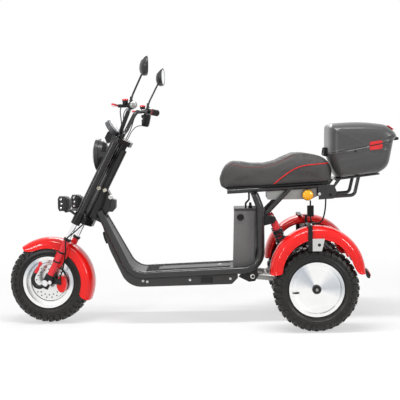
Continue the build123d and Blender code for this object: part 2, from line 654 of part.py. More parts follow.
# Battery: an upright case on the rear of the deck, with its lead up to the seat
BATTERY_HALF, BATTERY_TOP = 84, 596
BATTERY_FRONT, BATTERY_REAR = -156, -272
SEAT_LEAD_TOP = 684
with BuildPart() as battery:
    case = [(x, deck_z(x) + BOARD_TOP + SEAT_GAP) for x in (BATTERY_FRONT, BATTERY_REAR)]
    case = case + [(BATTERY_REAR - 6, BATTERY_TOP), (BATTERY_FRONT - 10, BATTERY_TOP)]
    slab(Plane.XZ, case, BATTERY_HALF, both=True)
    fillet(battery.edges().filter_by(Axis.Z, tolerance=4), 10)
keep("battery", battery.part)
lead_run = [(-226, BATTERY_TOP), (-226, BATTERY_TOP + 26), (-244, BATTERY_TOP + 44), (-244, SEAT_LEAD_TOP)]
with BuildPart() as battery_lead:
    tube_along([(x, 40, z) for x, z in lead_run], [14, 14], 5)
keep("battery_lead", battery_lead.part)

# Seat frame: two rails with cross bars and diagonal struts
RAIL_Y, RAIL_R = 96, 12
RAIL_FRONT, RAIL_REAR = (-130, 687), (-622, 711)
rail_slope = (RAIL_REAR[1] - RAIL_FRONT[1]) / (RAIL_REAR[0] - RAIL_FRONT[0])


def rail_z(x):
    """Height of the rails' centre line."""
    return RAIL_FRONT[1] + (x - RAIL_FRONT[0]) * rail_slope


with BuildPart() as seat_frame:
    for sign in (1, -1):
        front, rear = [(x, sign * RAIL_Y, z) for x, z in (RAIL_FRONT, RAIL_REAR)]
        bar(front, rear, RAIL_R)
        bar((-459, sign * RAIL_Y, rail_z(-459)), (-326, sign * 108, 568), 11)
    for x in (-140, -300, -470, -612):
        cross_bar(x, rail_z(x), -RAIL_Y, RAIL_Y, 10)
keep("seat_frame", seat_frame.part)

# Seat: a padded saddle on the rails, its side view cut to the outline seen from above
SEAT_HALF = 132
seat_low = [(x, rail_z(x) + RAIL_R + SEAT_GAP) for x in (-124, -672)]
SEAT_ARCS = [
    ((-640, 852), (-540, 872), (-474, 880)),
    ((-474, 880), (-400, 850), (-350, 828)),
    ((-350, 828), (-253, 822), (-160, 840)),
    ((-160, 840), (-100, 800), (-90, 727)),
]
SEAT_PLAN = [(-674, 118), (-640, SEAT_HALF), (-440, SEAT_HALF)]
SEAT_PLAN = SEAT_PLAN + [(-330, 118), (-200, 100), (-120, 84), (-88, 60)]
with BuildPart() as seat:
    with BuildSketch(Plane.XZ) as shape:
        with BuildLine():
            Polyline(*seat_low, (-672, 790), (-652, 840), SEAT_ARCS[0][0])
            for start, middle, stop in SEAT_ARCS:
                ThreePointArc(start, middle, stop)
            Line(SEAT_ARCS[-1][2], seat_low[0])
        make_face()
    extrude(shape.sketch, amount=SEAT_HALF, both=True)
    plan = SEAT_PLAN + [(x, -y) for x, y in reversed(SEAT_PLAN)]
    slab(Plane.XY.offset(600), plan, 400, mode=Mode.INTERSECT)
keep("seat", seat.part)

# Controller box hung under the rails, with a round amber lamp on each side
BOX_HALF, BOX_FRONT, BOX_REAR, BOX_LOW = 80, -336, -592, 641
with BuildPart() as controller_box:
    box_top = [(x, rail_z(x) - 10 - SEAT_GAP / 2) for x in (BOX_FRONT, BOX_REAR)]
    box_low = [(BOX_REAR, BOX_LOW + 13), (BOX_REAR + 26, BOX_LOW), (BOX_FRONT, BOX_LOW)]
    slab(Plane.XZ, box_top + box_low, BOX_HALF, both=True)
    fillet(controller_box.edges().filter_by(Axis.Y).group_by(Axis.Z)[0], 8)
keep("controller_box", controller_box.part)
SIDE_LAMP, SIDE_LAMP_R, SIDE_LAMP_T = (-545, 664), 29, 40
with BuildPart() as side_lamps:
    for sign in (1, -1):
        cross_bar(*SIDE_LAMP, sign * BOX_HALF, sign * (BOX_HALF + SIDE_LAMP_T), SIDE_LAMP_R)
keep("side_lamps", side_lamps.part)

# Rear rack: bent legs, the plate under the top box and the side brackets
RACK_Y, RACK_R = 100, 9
PLATE_FRONT, PLATE_REAR, PLATE_T = (-684, 745), (-912, 772), 8
RACK_FOOT, RACK_KNEE, RACK_HEAD = (-628, 652), (-784, 660), -806
rack_slope = (PLATE_REAR[1] - PLATE_FRONT[1]) / (PLATE_REAR[0] - PLATE_FRONT[0])


def plate_z(x):
    """Height of the rack plate's top."""
    return PLATE_FRONT[1] + (x - PLATE_FRONT[0]) * rack_slope


web_top = [(x, plate_z(x) - PLATE_T / 2) for x in (-716, -692)]
rack_web = [(-600, 640), (-676, 644), (-694, 676), (-684, 704), *web_top, (-677, 716), (-596, 716)]
with BuildPart() as rack:
    plate = [PLATE_FRONT, PLATE_REAR]
    slab(Plane.XZ, plate + [(x, z - PLATE_T) for x, z in reversed(plate)], RACK_Y + RACK_R, both=True)
    for sign in (1, -1):
        leg = [RACK_FOOT, RACK_KNEE, (RACK_HEAD, plate_z(RACK_HEAD) - PLATE_T / 2)]
        tube_along([(x, sign * RACK_Y, z) for x, z in leg], [26], RACK_R)
        slab(side(sign * (RAIL_Y + RAIL_R + 5)), rack_web, sign * 5)
keep("rack", rack.part)

# Lamp lead: a plug hanging under the left side lamp and its slack cord to the rack
LEAD_Y, LEAD_R = 100, 4
PLUG_X, PLUG_TOP, PLUG_LOW = -558, 609, 553
with BuildPart() as lamp_plug:
    with BuildSketch(Plane.XY.offset(PLUG_LOW)) as base:
        with Locations((PLUG_X, LEAD_Y)):
            RectangleRounded(34, 24, 6)
    extrude(base.sketch, amount=PLUG_TOP - PLUG_LOW)
    lamp_drop = (SIDE_LAMP_R**2 - (PLUG_X - SIDE_LAMP[0]) ** 2) ** 0.5
    bar((PLUG_X, LEAD_Y, PLUG_TOP), (PLUG_X, LEAD_Y, SIDE_LAMP[1] - lamp_drop - 3), LEAD_R)
keep("lamp_plug", lamp_plug.part)
LEAD_SPOTS = [(PLUG_X, PLUG_LOW), (PLUG_X, 516), (-616, 516), (-637, 590), (-637, 643.2)]
lead_bends = cord_bends(LEAD_SPOTS)
print("lead bends", [round(r, 1) for r in lead_bends])
with BuildPart() as lamp_lead:
    tube_along([(x, LEAD_Y, z) for x, z in LEAD_SPOTS], lead_bends, LEAD_R)
keep("lamp_lead", lamp_lead.part)

# Top box: a hollow tub on the rack and a hollow lid hinged at the front
CASE_HALF, CASE_WALL, CASE_ROUND, LID_LIFT = 186, 4, 26, 0.6
SEAM_FRONT, SEAM_REAR = (-650, 876), (-984, 938)
TUB_CORNERS = [(-698, plate_z(-698)), PLATE_REAR, (-958, 806)]
TUB_ROUNDS = [30, 56, 50]
LID_CORNERS = [(-652, 1026), (-820, 1034), (-944, 1018), (-988, 986), (-1008, 950)]
LID_ROUNDS = [46, 600, 40, 30]


def seam_z(x):
    """Height of the seam between tub and lid."""
    rise = (SEAM_REAR[1] - SEAM_FRONT[1]) / (SEAM_REAR[0] - SEAM_FRONT[0])
    return SEAM_FRONT[1] + (x - SEAM_FRONT[0]) * rise


def hollow(corners, rounds, lift):
    """A shell with an even wall and rounded sides, open along its seam."""
    room = CASE_HALF - CASE_ROUND + 3 * CASE_WALL
    soft = len(rounds) + 2
    outline = [(x, z + lift) for x, z in [SEAM_FRONT] + corners + [SEAM_REAR]]
    with BuildSketch(Plane.XZ) as skin:
        with BuildLine():
            FilletPolyline(*outline[:soft], radius=rounds)
            Polyline(*outline[soft - 1 :], outline[0])
        make_face()
    body = extrude(skin.sketch, amount=CASE_HALF, both=True)
    rims = body.faces().filter_by(Axis.Y).edges()
    fillet(rims.filter_by(lambda e: abs((e @ 0.5).Z - seam_z((e @ 0.5).X)) > 3), CASE_ROUND)
    with BuildSketch(Plane.XZ) as core:
        add(skin.sketch)
        offset(amount=-CASE_WALL, kind=Kind.INTERSECTION)
    extrude(core.sketch, amount=room, both=True, mode=Mode.SUBTRACT)
    front, rear = Vector(*outline[0]), Vector(*outline[-1])
    along = (rear - front).normalized()
    square = Vector(along.Y, -along.X) * (CASE_WALL + 5)
    a, b = front + along * (CASE_WALL + 2), rear - along * (CASE_WALL + 2)
    slab(Plane.XZ, [a + square, b + square, b - square, a - square], room, both=True, mode=Mode.SUBTRACT)


HINGE = (-641, 868)
HINGE_R, PIN_R, EAR_IN, EAR_OUT = 8, 4, 32, 46
with BuildPart() as box_tub:
    hollow(TUB_CORNERS, TUB_ROUNDS, 0)
    cross_bar(*HINGE, -EAR_IN + 1, EAR_IN - 1, HINGE_R)
    cross_bar(*HINGE, -EAR_OUT, EAR_OUT, PIN_R)
    web = [(HINGE[0] + x, HINGE[1] + z) for x, z in ((0, 7), (-15, 4), (-23, -14), (0, -7))]
    slab(Plane.XZ, web, EAR_IN - 1, both=True)
keep("box_tub", box_tub.part)
LATCH = [(-1000, 944), (-1006, 936), (-1026, 938), (-1026, 950), (-1008, 958), (-998, 962)]
EAR_SPOTS = [(-3, 0), (9, 0), (4, 34), (-15, 40), (-11, 12)]
with BuildPart() as box_lid:
    hollow(LID_CORNERS, LID_ROUNDS, LID_LIFT)
    for sign in (1, -1):
        with BuildSketch(side(sign * EAR_IN)) as ear:
            with BuildLine():
                Polyline(*[(HINGE[0] + x, HINGE[1] + z) for x, z in EAR_SPOTS], close=True)
            make_face()
            with Locations(HINGE):
                Circle(9)
                Circle(PIN_R + RUN_FIT, mode=Mode.SUBTRACT)
        extrude(ear.sketch, amount=-sign * (EAR_OUT - EAR_IN - 1))
    slab(Plane.XZ, LATCH, 24, both=True)
keep("box_lid", box_lid.part)

# Tail lamp: a red strip on the lid's slanted back edge
TAIL_T, TAIL_HALF = 5, 110
tail_high, tail_low = Vector(*LID_CORNERS[2]), Vector(*LID_CORNERS[3])
tail_way = (tail_low - tail_high).normalized()
tail_out = Vector(tail_way.Y, -tail_way.X)
tail_foot = [tail_high + tail_way * t + Vector(0, LID_LIFT) + tail_out * SEAT_GAP / 4 for t in (12, 46)]
with BuildPart() as tail_lamp:
    slab(Plane.XZ, tail_foot + [p + tail_out * TAIL_T for p in reversed(tail_foot)], TAIL_HALF, both=True)
keep("tail_lamp", tail_lamp.part)

# Pivot plates behind the deck
PIVOT, PIVOT_R, PIVOT_BORE = (-256, 246), 11, 7
ARM_Y, ARM_R = 88, 17
PLATE_Y, PIVOT_T = 108, 6
PIVOT_SPOTS = [(74, 0), (56, 22), (-14, 72), (-30, 4), (-12, -24), (20, -28)]
with BuildPart() as pivot_plates:
    for sign in (1, -1):
        plate = [(PIVOT[0] + x, PIVOT[1] + z) for x, z in PIVOT_SPOTS]
        slab(side(sign * PLATE_Y), plate, -sign * PIVOT_T)
    cross_bar(*PIVOT, -PLATE_Y - PIVOT_T, PLATE_Y + PIVOT_T, PIVOT_R)
    cross_bar(*PIVOT, -2 * PLATE_Y, 2 * PLATE_Y, PIVOT_BORE, Mode.SUBTRACT)
    clear_tubes()
keep("pivot_plates", pivot_plates.part)

# Swing arm, rear axle and drive motor
AXLE_TUBE_R, AXLE_TUBE_END = 22, REAR_Y + REAR_HUB_IN - MOVE_GAP
BOSS_HALF = PLATE_Y - ARM_Y - 1
arm_mid = (Vector(*PIVOT) * 0.76 + Vector(REAR_X, REAR_Z) * 0.24)
with BuildPart() as swing_arm:
    for y in (ARM_Y, -ARM_Y):
        bar((PIVOT[0] - 6, y, PIVOT[1]), (REAR_X + 6, y, REAR_Z), ARM_R)
        for x, z, radius in ((*PIVOT, PIVOT_R + 10), (REAR_X, REAR_Z, AXLE_TUBE_R + 12)):
            cross_bar(x, z, y - BOSS_HALF, y + BOSS_HALF, radius)
    cross_bar(arm_mid.X, arm_mid.Y, -ARM_Y, ARM_Y, ARM_R - 3)
    for x, z, radius in ((*PIVOT, PIVOT_R), (REAR_X, REAR_Z, AXLE_TUBE_R)):
        cross_bar(x, z, -2 * ARM_Y, 2 * ARM_Y, radius + RUN_FIT, Mode.SUBTRACT)
keep("swing_arm", swing_arm.part)
axle_tip = REAR_Y + REAR_HUB_OUT - 1
with BuildPart() as rear_axle:
    cross_bar(REAR_X, REAR_Z, -AXLE_TUBE_END, AXLE_TUBE_END, AXLE_TUBE_R)
    cross_bar(REAR_X, REAR_Z, -axle_tip, axle_tip, AXLE_END_R)
keep("rear_axle", rear_axle.part)
MOTOR_R, MOTOR_HALF = 92, 62
with BuildPart() as drive_motor:
    cross_bar(REAR_X, REAR_Z, -MOTOR_HALF, MOTOR_HALF, MOTOR_R)
    cross_bar(REAR_X, REAR_Z, -2 * MOTOR_HALF, 2 * MOTOR_HALF, AXLE_TUBE_R + RUN_FIT, Mode.SUBTRACT)
keep("drive_motor", drive_motor.part)

# Rear shocks: red bodies, black springs and the bracket on the uprights
SHOCK_Y = 88
SHOCK_TOP, SHOCK_LOW = (-364, 542), (REAR_X + 89, REAR_Z + 41)
SHOCK_ROD_R, SPRING_R, MOUNT_R = 12, 27, 8
SPRING_TOP, SPRING_LOW = 58, 250
shock_run = Vector(*SHOCK_LOW) - Vector(*SHOCK_TOP)
SHOCK_LONG = shock_run.length


def shock_spot(t, y):
    """The point down the shock from its top mount, at a side distance."""
    spot = Vector(*SHOCK_TOP) + shock_run.normalized() * t
    return (spot.X, y, spot.Y)


with BuildPart() as shock_bodies:
    for y in (SHOCK_Y, -SHOCK_Y):
        bar(shock_spot(14, y), shock_spot(SPRING_TOP, y), 19)
        bar(shock_spot(0, y - 12), shock_spot(0, y + 12), 16)
        bar(shock_spot(SPRING_TOP, y), shock_spot(SHOCK_LONG - 6, y), SHOCK_ROD_R)
        bar(shock_spot(SPRING_LOW, y), shock_spot(SPRING_LOW + 8, y), SPRING_R - 3)
    cross_bar(*SHOCK_TOP, -DECK_Y, DECK_Y, MOUNT_R + RUN_FIT, Mode.SUBTRACT)
keep("shock_bodies", shock_bodies.part)
with BuildPart() as shock_springs:
    for y in (SHOCK_Y, -SHOCK_Y):
        bar(shock_spot(SPRING_TOP, y), shock_spot(SPRING_LOW, y), SPRING_R)
        start, stop = shock_spot(SPRING_TOP - 5, y), shock_spot(SPRING_LOW + 5, y)
        bar(start, stop, SHOCK_ROD_R + SEAT_GAP, Mode.SUBTRACT)
keep("shock_springs", shock_springs.part)
MOUNT_SPOTS = [(54, 24), (-8, 16), (-18, -2), (-6, -18), (54, -34)]
with BuildPart() as shock_mount:
    cross_bar(*SHOCK_TOP, -DECK_Y - 6, DECK_Y + 6, MOUNT_R)
    for sign in (1, -1):
        ear = [(SHOCK_TOP[0] + x, SHOCK_TOP[1] + z) for x, z in MOUNT_SPOTS]
        slab(side(sign * (DECK_Y + 4)), ear, sign * 8)
    clear_tubes()
keep("shock_mount", shock_mount.part)

# Rear fenders: wide channels about a centre above the axle
REAR_FENDER_R, REAR_FENDER_C = FENDER_R - 1, (REAR_X - 8, REAR_Z + 76)
FENDER_IN, FENDER_OUT = REAR_Y - 78, REAR_Y + 76
SKIRT_OUT, SKIRT_IN = REAR_FENDER_R - 58, REAR_FENDER_R - 30
for name, sign in (("rear_fender_left", 1), ("rear_fender_right", -1)):
    centre = (REAR_FENDER_C[0], 0, REAR_FENDER_C[1])
    with BuildPart() as rear_fender:
        with BuildSketch(Plane(origin=centre, x_dir=(0, 1, 0), z_dir=(0, 0, -1))) as section:
            with BuildLine():
                rows = channel(REAR_FENDER_R, FENDER_OUT, FENDER_IN, SKIRT_OUT, SKIRT_IN, FENDER_T)
                Polyline(*[(sign * w, r) for w, r in rows], close=True)
            make_face()
        revolve(section.sketch, axis=Axis(centre, (0, -1, 0)), revolution_arc=180)
    keep(name, rear_fender.part)

# Fender stays from the axle tube, each with a strap over the fender and down its side
STRAP_X, STRAP_W, STRAP_T, STRAP_DOWN = REAR_FENDER_C[0] + 40, 22, 4, 118
STRAP_Z = REAR_FENDER_C[1] + REAR_FENDER_R + SEAT_GAP
STAY_Y, STAY_R = FENDER_IN - 9, 8
STRAP_OUT = FENDER_OUT + SEAT_GAP
STRAP_FOOT = STRAP_Z - STRAP_DOWN
strap_hook = [
    (STAY_Y, STRAP_Z),
    (STRAP_OUT, STRAP_Z),
    (STRAP_OUT, STRAP_FOOT),
    (STRAP_OUT + STRAP_T, STRAP_FOOT),
    (STRAP_OUT + STRAP_T, STRAP_Z + STRAP_T),
    (STAY_Y, STRAP_Z + STRAP_T),
]
with BuildPart() as fender_stays:
    for sign in (1, -1):
        bar((REAR_X, sign * STAY_Y, REAR_Z), (REAR_X, sign * STAY_Y, STRAP_Z + STRAP_T), STAY_R)
        near, far = REAR_X - STAY_R, STRAP_X + STRAP_W / 2
        head = [(near, -STAY_R), (far, -STAY_R), (far, STAY_R), (near, STAY_R)]
        slab(Plane.XY.offset(STRAP_Z), [(x, sign * STAY_Y + y) for x, y in head], STRAP_T)
        slab(Plane.YZ.offset(STRAP_X - STRAP_W / 2), [(sign * y, z) for y, z in strap_hook], STRAP_W)
    cross_bar(REAR_X, REAR_Z, -FENDER_IN, FENDER_IN, AXLE_TUBE_R + SEAT_GAP, Mode.SUBTRACT)
keep("fender_stays", fender_stays.part)

# Bare plates at the foot of the straps
FOOT_PLATE_X, FOOT_PLATE_Z, FOOT_PLATE_T = 86, 62, 3
foot_front, foot_rear = STRAP_X + STRAP_W / 2, STRAP_X + STRAP_W / 2 - FOOT_PLATE_X
foot_low, foot_high = STRAP_FOOT, STRAP_FOOT + FOOT_PLATE_Z
with BuildPart() as fender_plates:
    for sign in (1, -1):
        plate = [(foot_rear, foot_low), (foot_front, foot_low)]
        plate = plate + [(foot_front, foot_high), (foot_rear, foot_high)]
        slab(side(sign * (STRAP_OUT + STRAP_T + SEAT_GAP / 4)), plate, -sign * FOOT_PLATE_T)
keep("fender_plates", fender_plates.part)

# Write every piece
for name, piece in pieces.items():
    export_step(piece, f"parts/{name}.step")
    print(name, len(piece.solids()), round(piece.volume / 1000), "cm3", piece.is_valid)
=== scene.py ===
# %% [markdown]
# # Dressing an electric trike
# The solids of this trike come from a imported CAD model, and this lesson gives them
# their looks: knobbly tyres, a padded seat, coil springs, cables, lamps and paint.
# Everything is in metres. X points forward, Y to the rider's left and Z up.
# We load the frame first.

# %% Load the frame
from math import asin, cos, radians, sin

import bmesh
import bpy
import numpy as np
from mathutils import Matrix, Vector


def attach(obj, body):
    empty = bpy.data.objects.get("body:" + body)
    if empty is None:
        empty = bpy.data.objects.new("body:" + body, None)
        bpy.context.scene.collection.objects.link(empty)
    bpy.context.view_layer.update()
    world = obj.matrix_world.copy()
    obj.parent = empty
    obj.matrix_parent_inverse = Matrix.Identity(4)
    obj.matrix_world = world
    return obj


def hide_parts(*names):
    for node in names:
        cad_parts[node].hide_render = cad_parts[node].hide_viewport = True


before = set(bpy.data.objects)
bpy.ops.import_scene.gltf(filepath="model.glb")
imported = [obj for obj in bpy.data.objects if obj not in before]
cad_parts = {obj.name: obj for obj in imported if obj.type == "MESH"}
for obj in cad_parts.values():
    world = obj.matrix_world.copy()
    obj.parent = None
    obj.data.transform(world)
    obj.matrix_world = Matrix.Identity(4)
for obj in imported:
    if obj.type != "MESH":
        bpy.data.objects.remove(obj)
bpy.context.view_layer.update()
MM = 0.001

# %% [markdown]
# ## The camera
# The photograph was taken with a long lens, almost square to the trike's left side,
# a little above the handlebar's height. A camera can be aimed with a constraint, but
# here its three axes are written straight into a matrix: the lens looks along the
# negative third column, so yaw, pitch and roll stay three plain numbers.

# %% Camera
CAMERA_AT = Vector((-0.102, 4.860, 1.038))
YAW, PITCH, ROLL = radians(1.36), radians(4.7), radians(1.0)
PHOTO_SIDE, FOCAL_PIXELS, SENSOR = 400, 924, 36.0

ahead = Vector((sin(YAW) * cos(PITCH), -cos(YAW) * cos(PITCH), -sin(PITCH)))
right = Vector((-cos(YAW), -sin(YAW), 0))
up = right.cross(ahead)
right, up = right * cos(ROLL) - up * sin(ROLL), right * sin(ROLL) + up * cos(ROLL)
turn = Matrix((right, up, -ahead)).transposed().to_4x4()

camera = bpy.data.objects.new("camera", bpy.data.cameras.new("camera"))
camera.data.sensor_width = SENSOR
camera.data.lens = FOCAL_PIXELS / PHOTO_SIDE * SENSOR
camera.matrix_world = Matrix.Translation(CAMERA_AT) @ turn
bpy.context.scene.collection.objects.link(camera)
bpy.context.scene.camera = camera
print("lens", round(camera.data.lens, 1), "mm")

# %% [markdown]
# ## Studio and light
# The trike stands in a white studio. The world is white for rays that come from the
# camera or from a mirror-like surface, and dimmer for the light it throws, so dark
# paint stays dark. The lamps are long strips, which draw bright lines on paint and tubes.

# %% Light
scene = bpy.context.scene
scene.view_settings.view_transform = "Standard"
WORLD_GLOW = 0.40
world = bpy.data.worlds.new("studio")
scene.world = world
world.use_nodes = True
air = world.node_tree
air.nodes.clear()
path = air.nodes.new("ShaderNodeLightPath")
seen = air.nodes.new("ShaderNodeMath")
seen.operation = "MAXIMUM"
bright = air.nodes.new("ShaderNodeMath")
bright.operation = "MAXIMUM"
level = air.nodes.new("ShaderNodeMapRange")
level.inputs["To Min"].default_value = WORLD_GLOW
level.inputs["To Max"].default_value = 1.0
glow = air.nodes.new("ShaderNodeBackground")
glow.inputs["Color"].default_value = (1, 1, 1, 1)
sky = air.nodes.new("ShaderNodeOutputWorld")
air.links.new(path.outputs["Is Camera Ray"], seen.inputs[0])
air.links.new(path.outputs["Is Glossy Ray"], seen.inputs[1])
air.links.new(seen.outputs[0], bright.inputs[0])
air.links.new(path.outputs["Is Transmission Ray"], bright.inputs[1])
air.links.new(bright.outputs[0], level.inputs["Value"])
air.links.new(level.outputs["Result"], glow.inputs["Strength"])
air.links.new(glow.outputs[0], sky.inputs[0])

LAMPS = [
    # name, place, aim, width, height, watts
    ("overhead", (0.0, 0.7, 3.2), (0, 0, 0.4), 2.6, 0.30, 80),
    ("front_left", (2.6, 2.9, 1.9), (0.2, 0, 0.6), 0.25, 1.3, 40),
    ("rear_left", (-2.9, 2.6, 1.8), (-0.3, 0, 0.5), 0.25, 1.3, 36),
    ("back", (0.4, -3.0, 2.2), (0, 0, 0.6), 2.2, 0.35, 30),
]
for name, place, aim, width, height, watts in LAMPS:
    lamp = bpy.data.lights.new(name, "AREA")
    lamp.shape, lamp.size, lamp.size_y, lamp.energy = "RECTANGLE", width, height, watts
    stand = bpy.data.objects.new(name, lamp)
    stand.location = place
    stand.rotation_euler = (Vector(aim) - Vector(place)).to_track_quat("-Z", "Y").to_euler()
    scene.collection.objects.link(stand)
print("lamps", len(LAMPS))

# %% [markdown]
# ## Making meshes from arrays
# A piece is one or more shells, and a shell is a pair of arrays: points and faces.
# Most shells are a grid of points, so one function numbers the quads of any grid.
# The piece then merges the points that meet at seams and poles, turns all its faces
# outwards and gets its body and its material.

# %% Grid, merge and place
finishes = {}


def grid_faces(rows, cols, wrap_rows=False, wrap_cols=False):
    """Quads of a grid of points numbered row by row, closed on itself where asked."""
    r = np.arange(rows if wrap_rows else rows - 1)[:, None]
    c = np.arange(cols if wrap_cols else cols - 1)[None, :]
    below, beside = (r + 1) % rows, (c + 1) % cols
    corners = (r * cols + c, r * cols + beside, below * cols + beside, below * cols + c)
    return np.stack(np.broadcast_arrays(*corners), -1).reshape(-1, 4)


def joined(shells):
    """Several shells as one pair of arrays, each shell's numbers moved past the last."""
    starts = np.cumsum([0] + [len(points) for points, faces in shells[:-1]])
    faces = [(np.asarray(f) + s).tolist() for (p, fs), s in zip(shells, starts) for f in fs]
    return np.concatenate([points for points, faces in shells]), faces


def piece(name, shells, body, finish, slot, smooth=40):
    """A mesh object from shells: merged, turned outwards, shaded and riding on a body."""
    points, faces = joined(shells)
    mesh = bpy.data.meshes.new(name)
    mesh.from_pydata(points.tolist(), [], faces)
    work = bmesh.new()
    work.from_mesh(mesh)
    bmesh.ops.remove_doubles(work, verts=work.verts, dist=2e-6)
    bmesh.ops.recalc_face_normals(work, faces=work.faces)
    work.to_mesh(mesh)
    work.free()
    made = bpy.data.objects.new(name, mesh)
    scene.collection.objects.link(made)
    if smooth:
        mesh.shade_smooth()
        mesh.set_sharp_from_angle(angle=radians(smooth))
    mesh.materials.append(finishes[finish])
    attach(made, body)
    print(name, len(mesh.polygons), "faces on", body)
    return made


# %% [markdown]
# ## Shells that come back often
# A lathe turns a profile of distances and radii about an axis. A tube carries a circle
# along a path; a fixed direction across the path keeps the circles from twisting.
# A plate is an outline in a plane, given a thickness; most are drawn in side view.

# %% Lathe, tube and plate
SIDES = (1, -1)


def unit(v):
    """Arrows of length one."""
    v = np.asarray(v, float)
    return v / np.linalg.norm(v, axis=-1, keepdims=True)


def frame_about(axis):
    """Two directions square to an axis and to each other."""
    axis = unit(axis)
    helper = np.array((0, 0, 1.0)) if abs(axis[2]) < 0.9 else np.array((1.0, 0, 0))
    first = unit(np.cross(axis, helper))
    return axis, first, np.cross(axis, first)


def lathe(profile, centre, axis, steps=48):
    """Point = centre + along * axis + radius * (cos a * first + sin a * second)."""
    axis, first, second = frame_about(axis)
    along, radius = np.asarray(profile, float).T
    a = np.linspace(0, 2 * np.pi, steps, endpoint=False)[:, None, None]
    spoke = np.cos(a) * first + np.sin(a) * second
    points = np.asarray(centre) + along[:, None] * axis + radius[:, None] * spoke
    return points.reshape(-1, 3), grid_faces(steps, len(along), wrap_rows=True)


def tube(line, radius, across=(0, 1, 0), sides=14):
    """Circles about a line: centre + r * (cos a * n + sin a * b), n square to the line."""
    line = np.asarray(line, float)
    way = unit(np.gradient(line, axis=0))
    b = unit(np.cross(way, np.broadcast_to(across, line.shape)))
    n = np.cross(b, way)
    a = np.linspace(0, 2 * np.pi, sides, endpoint=False)[None, :, None]
    size = np.broadcast_to(radius, len(line))[:, None, None]
    points = line[:, None] + size * (np.cos(a) * n[:, None] + np.sin(a) * b[:, None])
    faces = grid_faces(len(line), sides, wrap_cols=True).tolist()
    caps = [list(range(start, start + sides)) for start in (0, (len(line) - 1) * sides)]
    return points.reshape(-1, 3), faces + caps


def plate(outline, origin, first, second, thick):
    """Outline corners at origin + u * first + v * second, and again a thickness further."""
    u, v = np.asarray(outline, float).T
    first, second = np.asarray(first, float), np.asarray(second, float)
    base = np.asarray(origin) + u[:, None] * first + v[:, None] * second
    points = np.concatenate([base, base + thick * np.cross(first, second)])
    n = len(u)
    faces = grid_faces(2, n, wrap_cols=True).tolist()
    return points, faces + [list(range(n)), list(range(n, 2 * n))]


def upright(outline, y, thick):
    """A plate whose outline is drawn in side view, with its middle at y."""
    return plate(outline, (0, y + thick / 2, 0), (1, 0, 0), (0, 0, 1), thick)


def smooth_line(points, count):
    """A smooth line through points: straight spans by length, rounded by averaging."""
    points = np.asarray(points, float)
    gaps = np.linalg.norm(np.diff(points, axis=0), axis=1)
    at = np.concatenate([[0], np.cumsum(gaps)])
    even = np.linspace(0, at[-1], count)
    line = np.stack([np.interp(even, at, p) for p in points.T], -1)
    width = max(3, count // (2 * len(points)) * 2 + 1)
    pad = width // 2
    early = 2 * line[0] - line[pad:0:-1]
    late = 2 * line[-1] - line[-2:-pad - 2:-1]
    long = np.concatenate([early, line, late])
    kernel = np.ones(width) / width
    return np.stack([np.convolve(c, kernel, "valid") for c in long.T], -1)


# %% [markdown]
# ## Effects that several finishes share
# Real surfaces are never one number all over. Three node groups give what repeats: a
# fine grain in the moulding or paint, a film of road dust that thickens towards the
# floor, and the circular marks that a lathe leaves on a wheel. They put out values
# only; each material wires them to its own shader.

# %% Node groups


def group(name, inputs, outputs):
    """An empty shader node group with named sockets, and its two end nodes."""
    made = bpy.data.node_groups.new(name, "ShaderNodeTree")
    for label, kind, value in inputs:
        socket = made.interface.new_socket(label, in_out="INPUT", socket_type=kind)
        socket.default_value = value
    for label, kind in outputs:
        made.interface.new_socket(label, in_out="OUTPUT", socket_type=kind)
    return made, made.nodes.new("NodeGroupInput"), made.nodes.new("NodeGroupOutput")


def maths(tree, operation, a, b=None):
    """A Math node whose inputs are sockets or plain numbers; gives its output."""
    made = tree.nodes.new("ShaderNodeMath")
    made.operation = operation
    for socket, value in zip(made.inputs, (a, b)):
        if isinstance(value, (int, float)):
            socket.default_value = value
        elif value is not None:
            tree.links.new(value, socket)
    return made.outputs[0]


def noise(tree, vector, scale, detail=3.0):
    """A Noise Texture read at a vector; gives its value."""
    made = tree.nodes.new("ShaderNodeTexNoise")
    made.inputs["Detail"].default_value = detail
    tree.links.new(vector, made.inputs["Vector"])
    if isinstance(scale, (int, float)):
        made.inputs["Scale"].default_value = scale
    else:
        tree.links.new(scale, made.inputs["Scale"])
    return made.outputs["Fac"]


FLOAT, VECTOR = "NodeSocketFloat", "NodeSocketVector"

grain, inlet, outlet = group(
    "fine_grain", [("Scale", FLOAT, 900.0), ("Blotch", FLOAT, 9.0)], [("Height", FLOAT), ("Tone", FLOAT)]
)
where = grain.nodes.new("ShaderNodeTexCoord").outputs["Object"]
grain.links.new(noise(grain, where, inlet.outputs["Scale"], 2.0), outlet.inputs["Height"])
grain.links.new(noise(grain, where, inlet.outputs["Blotch"], 4.0), outlet.inputs["Tone"])

dust, inlet, outlet = group("road_dust", [("Top", FLOAT, 0.5), ("Amount", FLOAT, 0.3)], [("Mask", FLOAT)])
where = dust.nodes.new("ShaderNodeTexCoord").outputs["Object"]
split = dust.nodes.new("ShaderNodeSeparateXYZ")
dust.links.new(where, split.inputs[0])
low = maths(dust, "SUBTRACT", 1.0, maths(dust, "DIVIDE", split.outputs["Z"], inlet.outputs["Top"]))
film = maths(dust, "MULTIPLY", maths(dust, "MAXIMUM", low, 0.0), noise(dust, where, 14.0, 6.0))
dust.links.new(maths(dust, "MULTIPLY", film, inlet.outputs["Amount"]), outlet.inputs["Mask"])

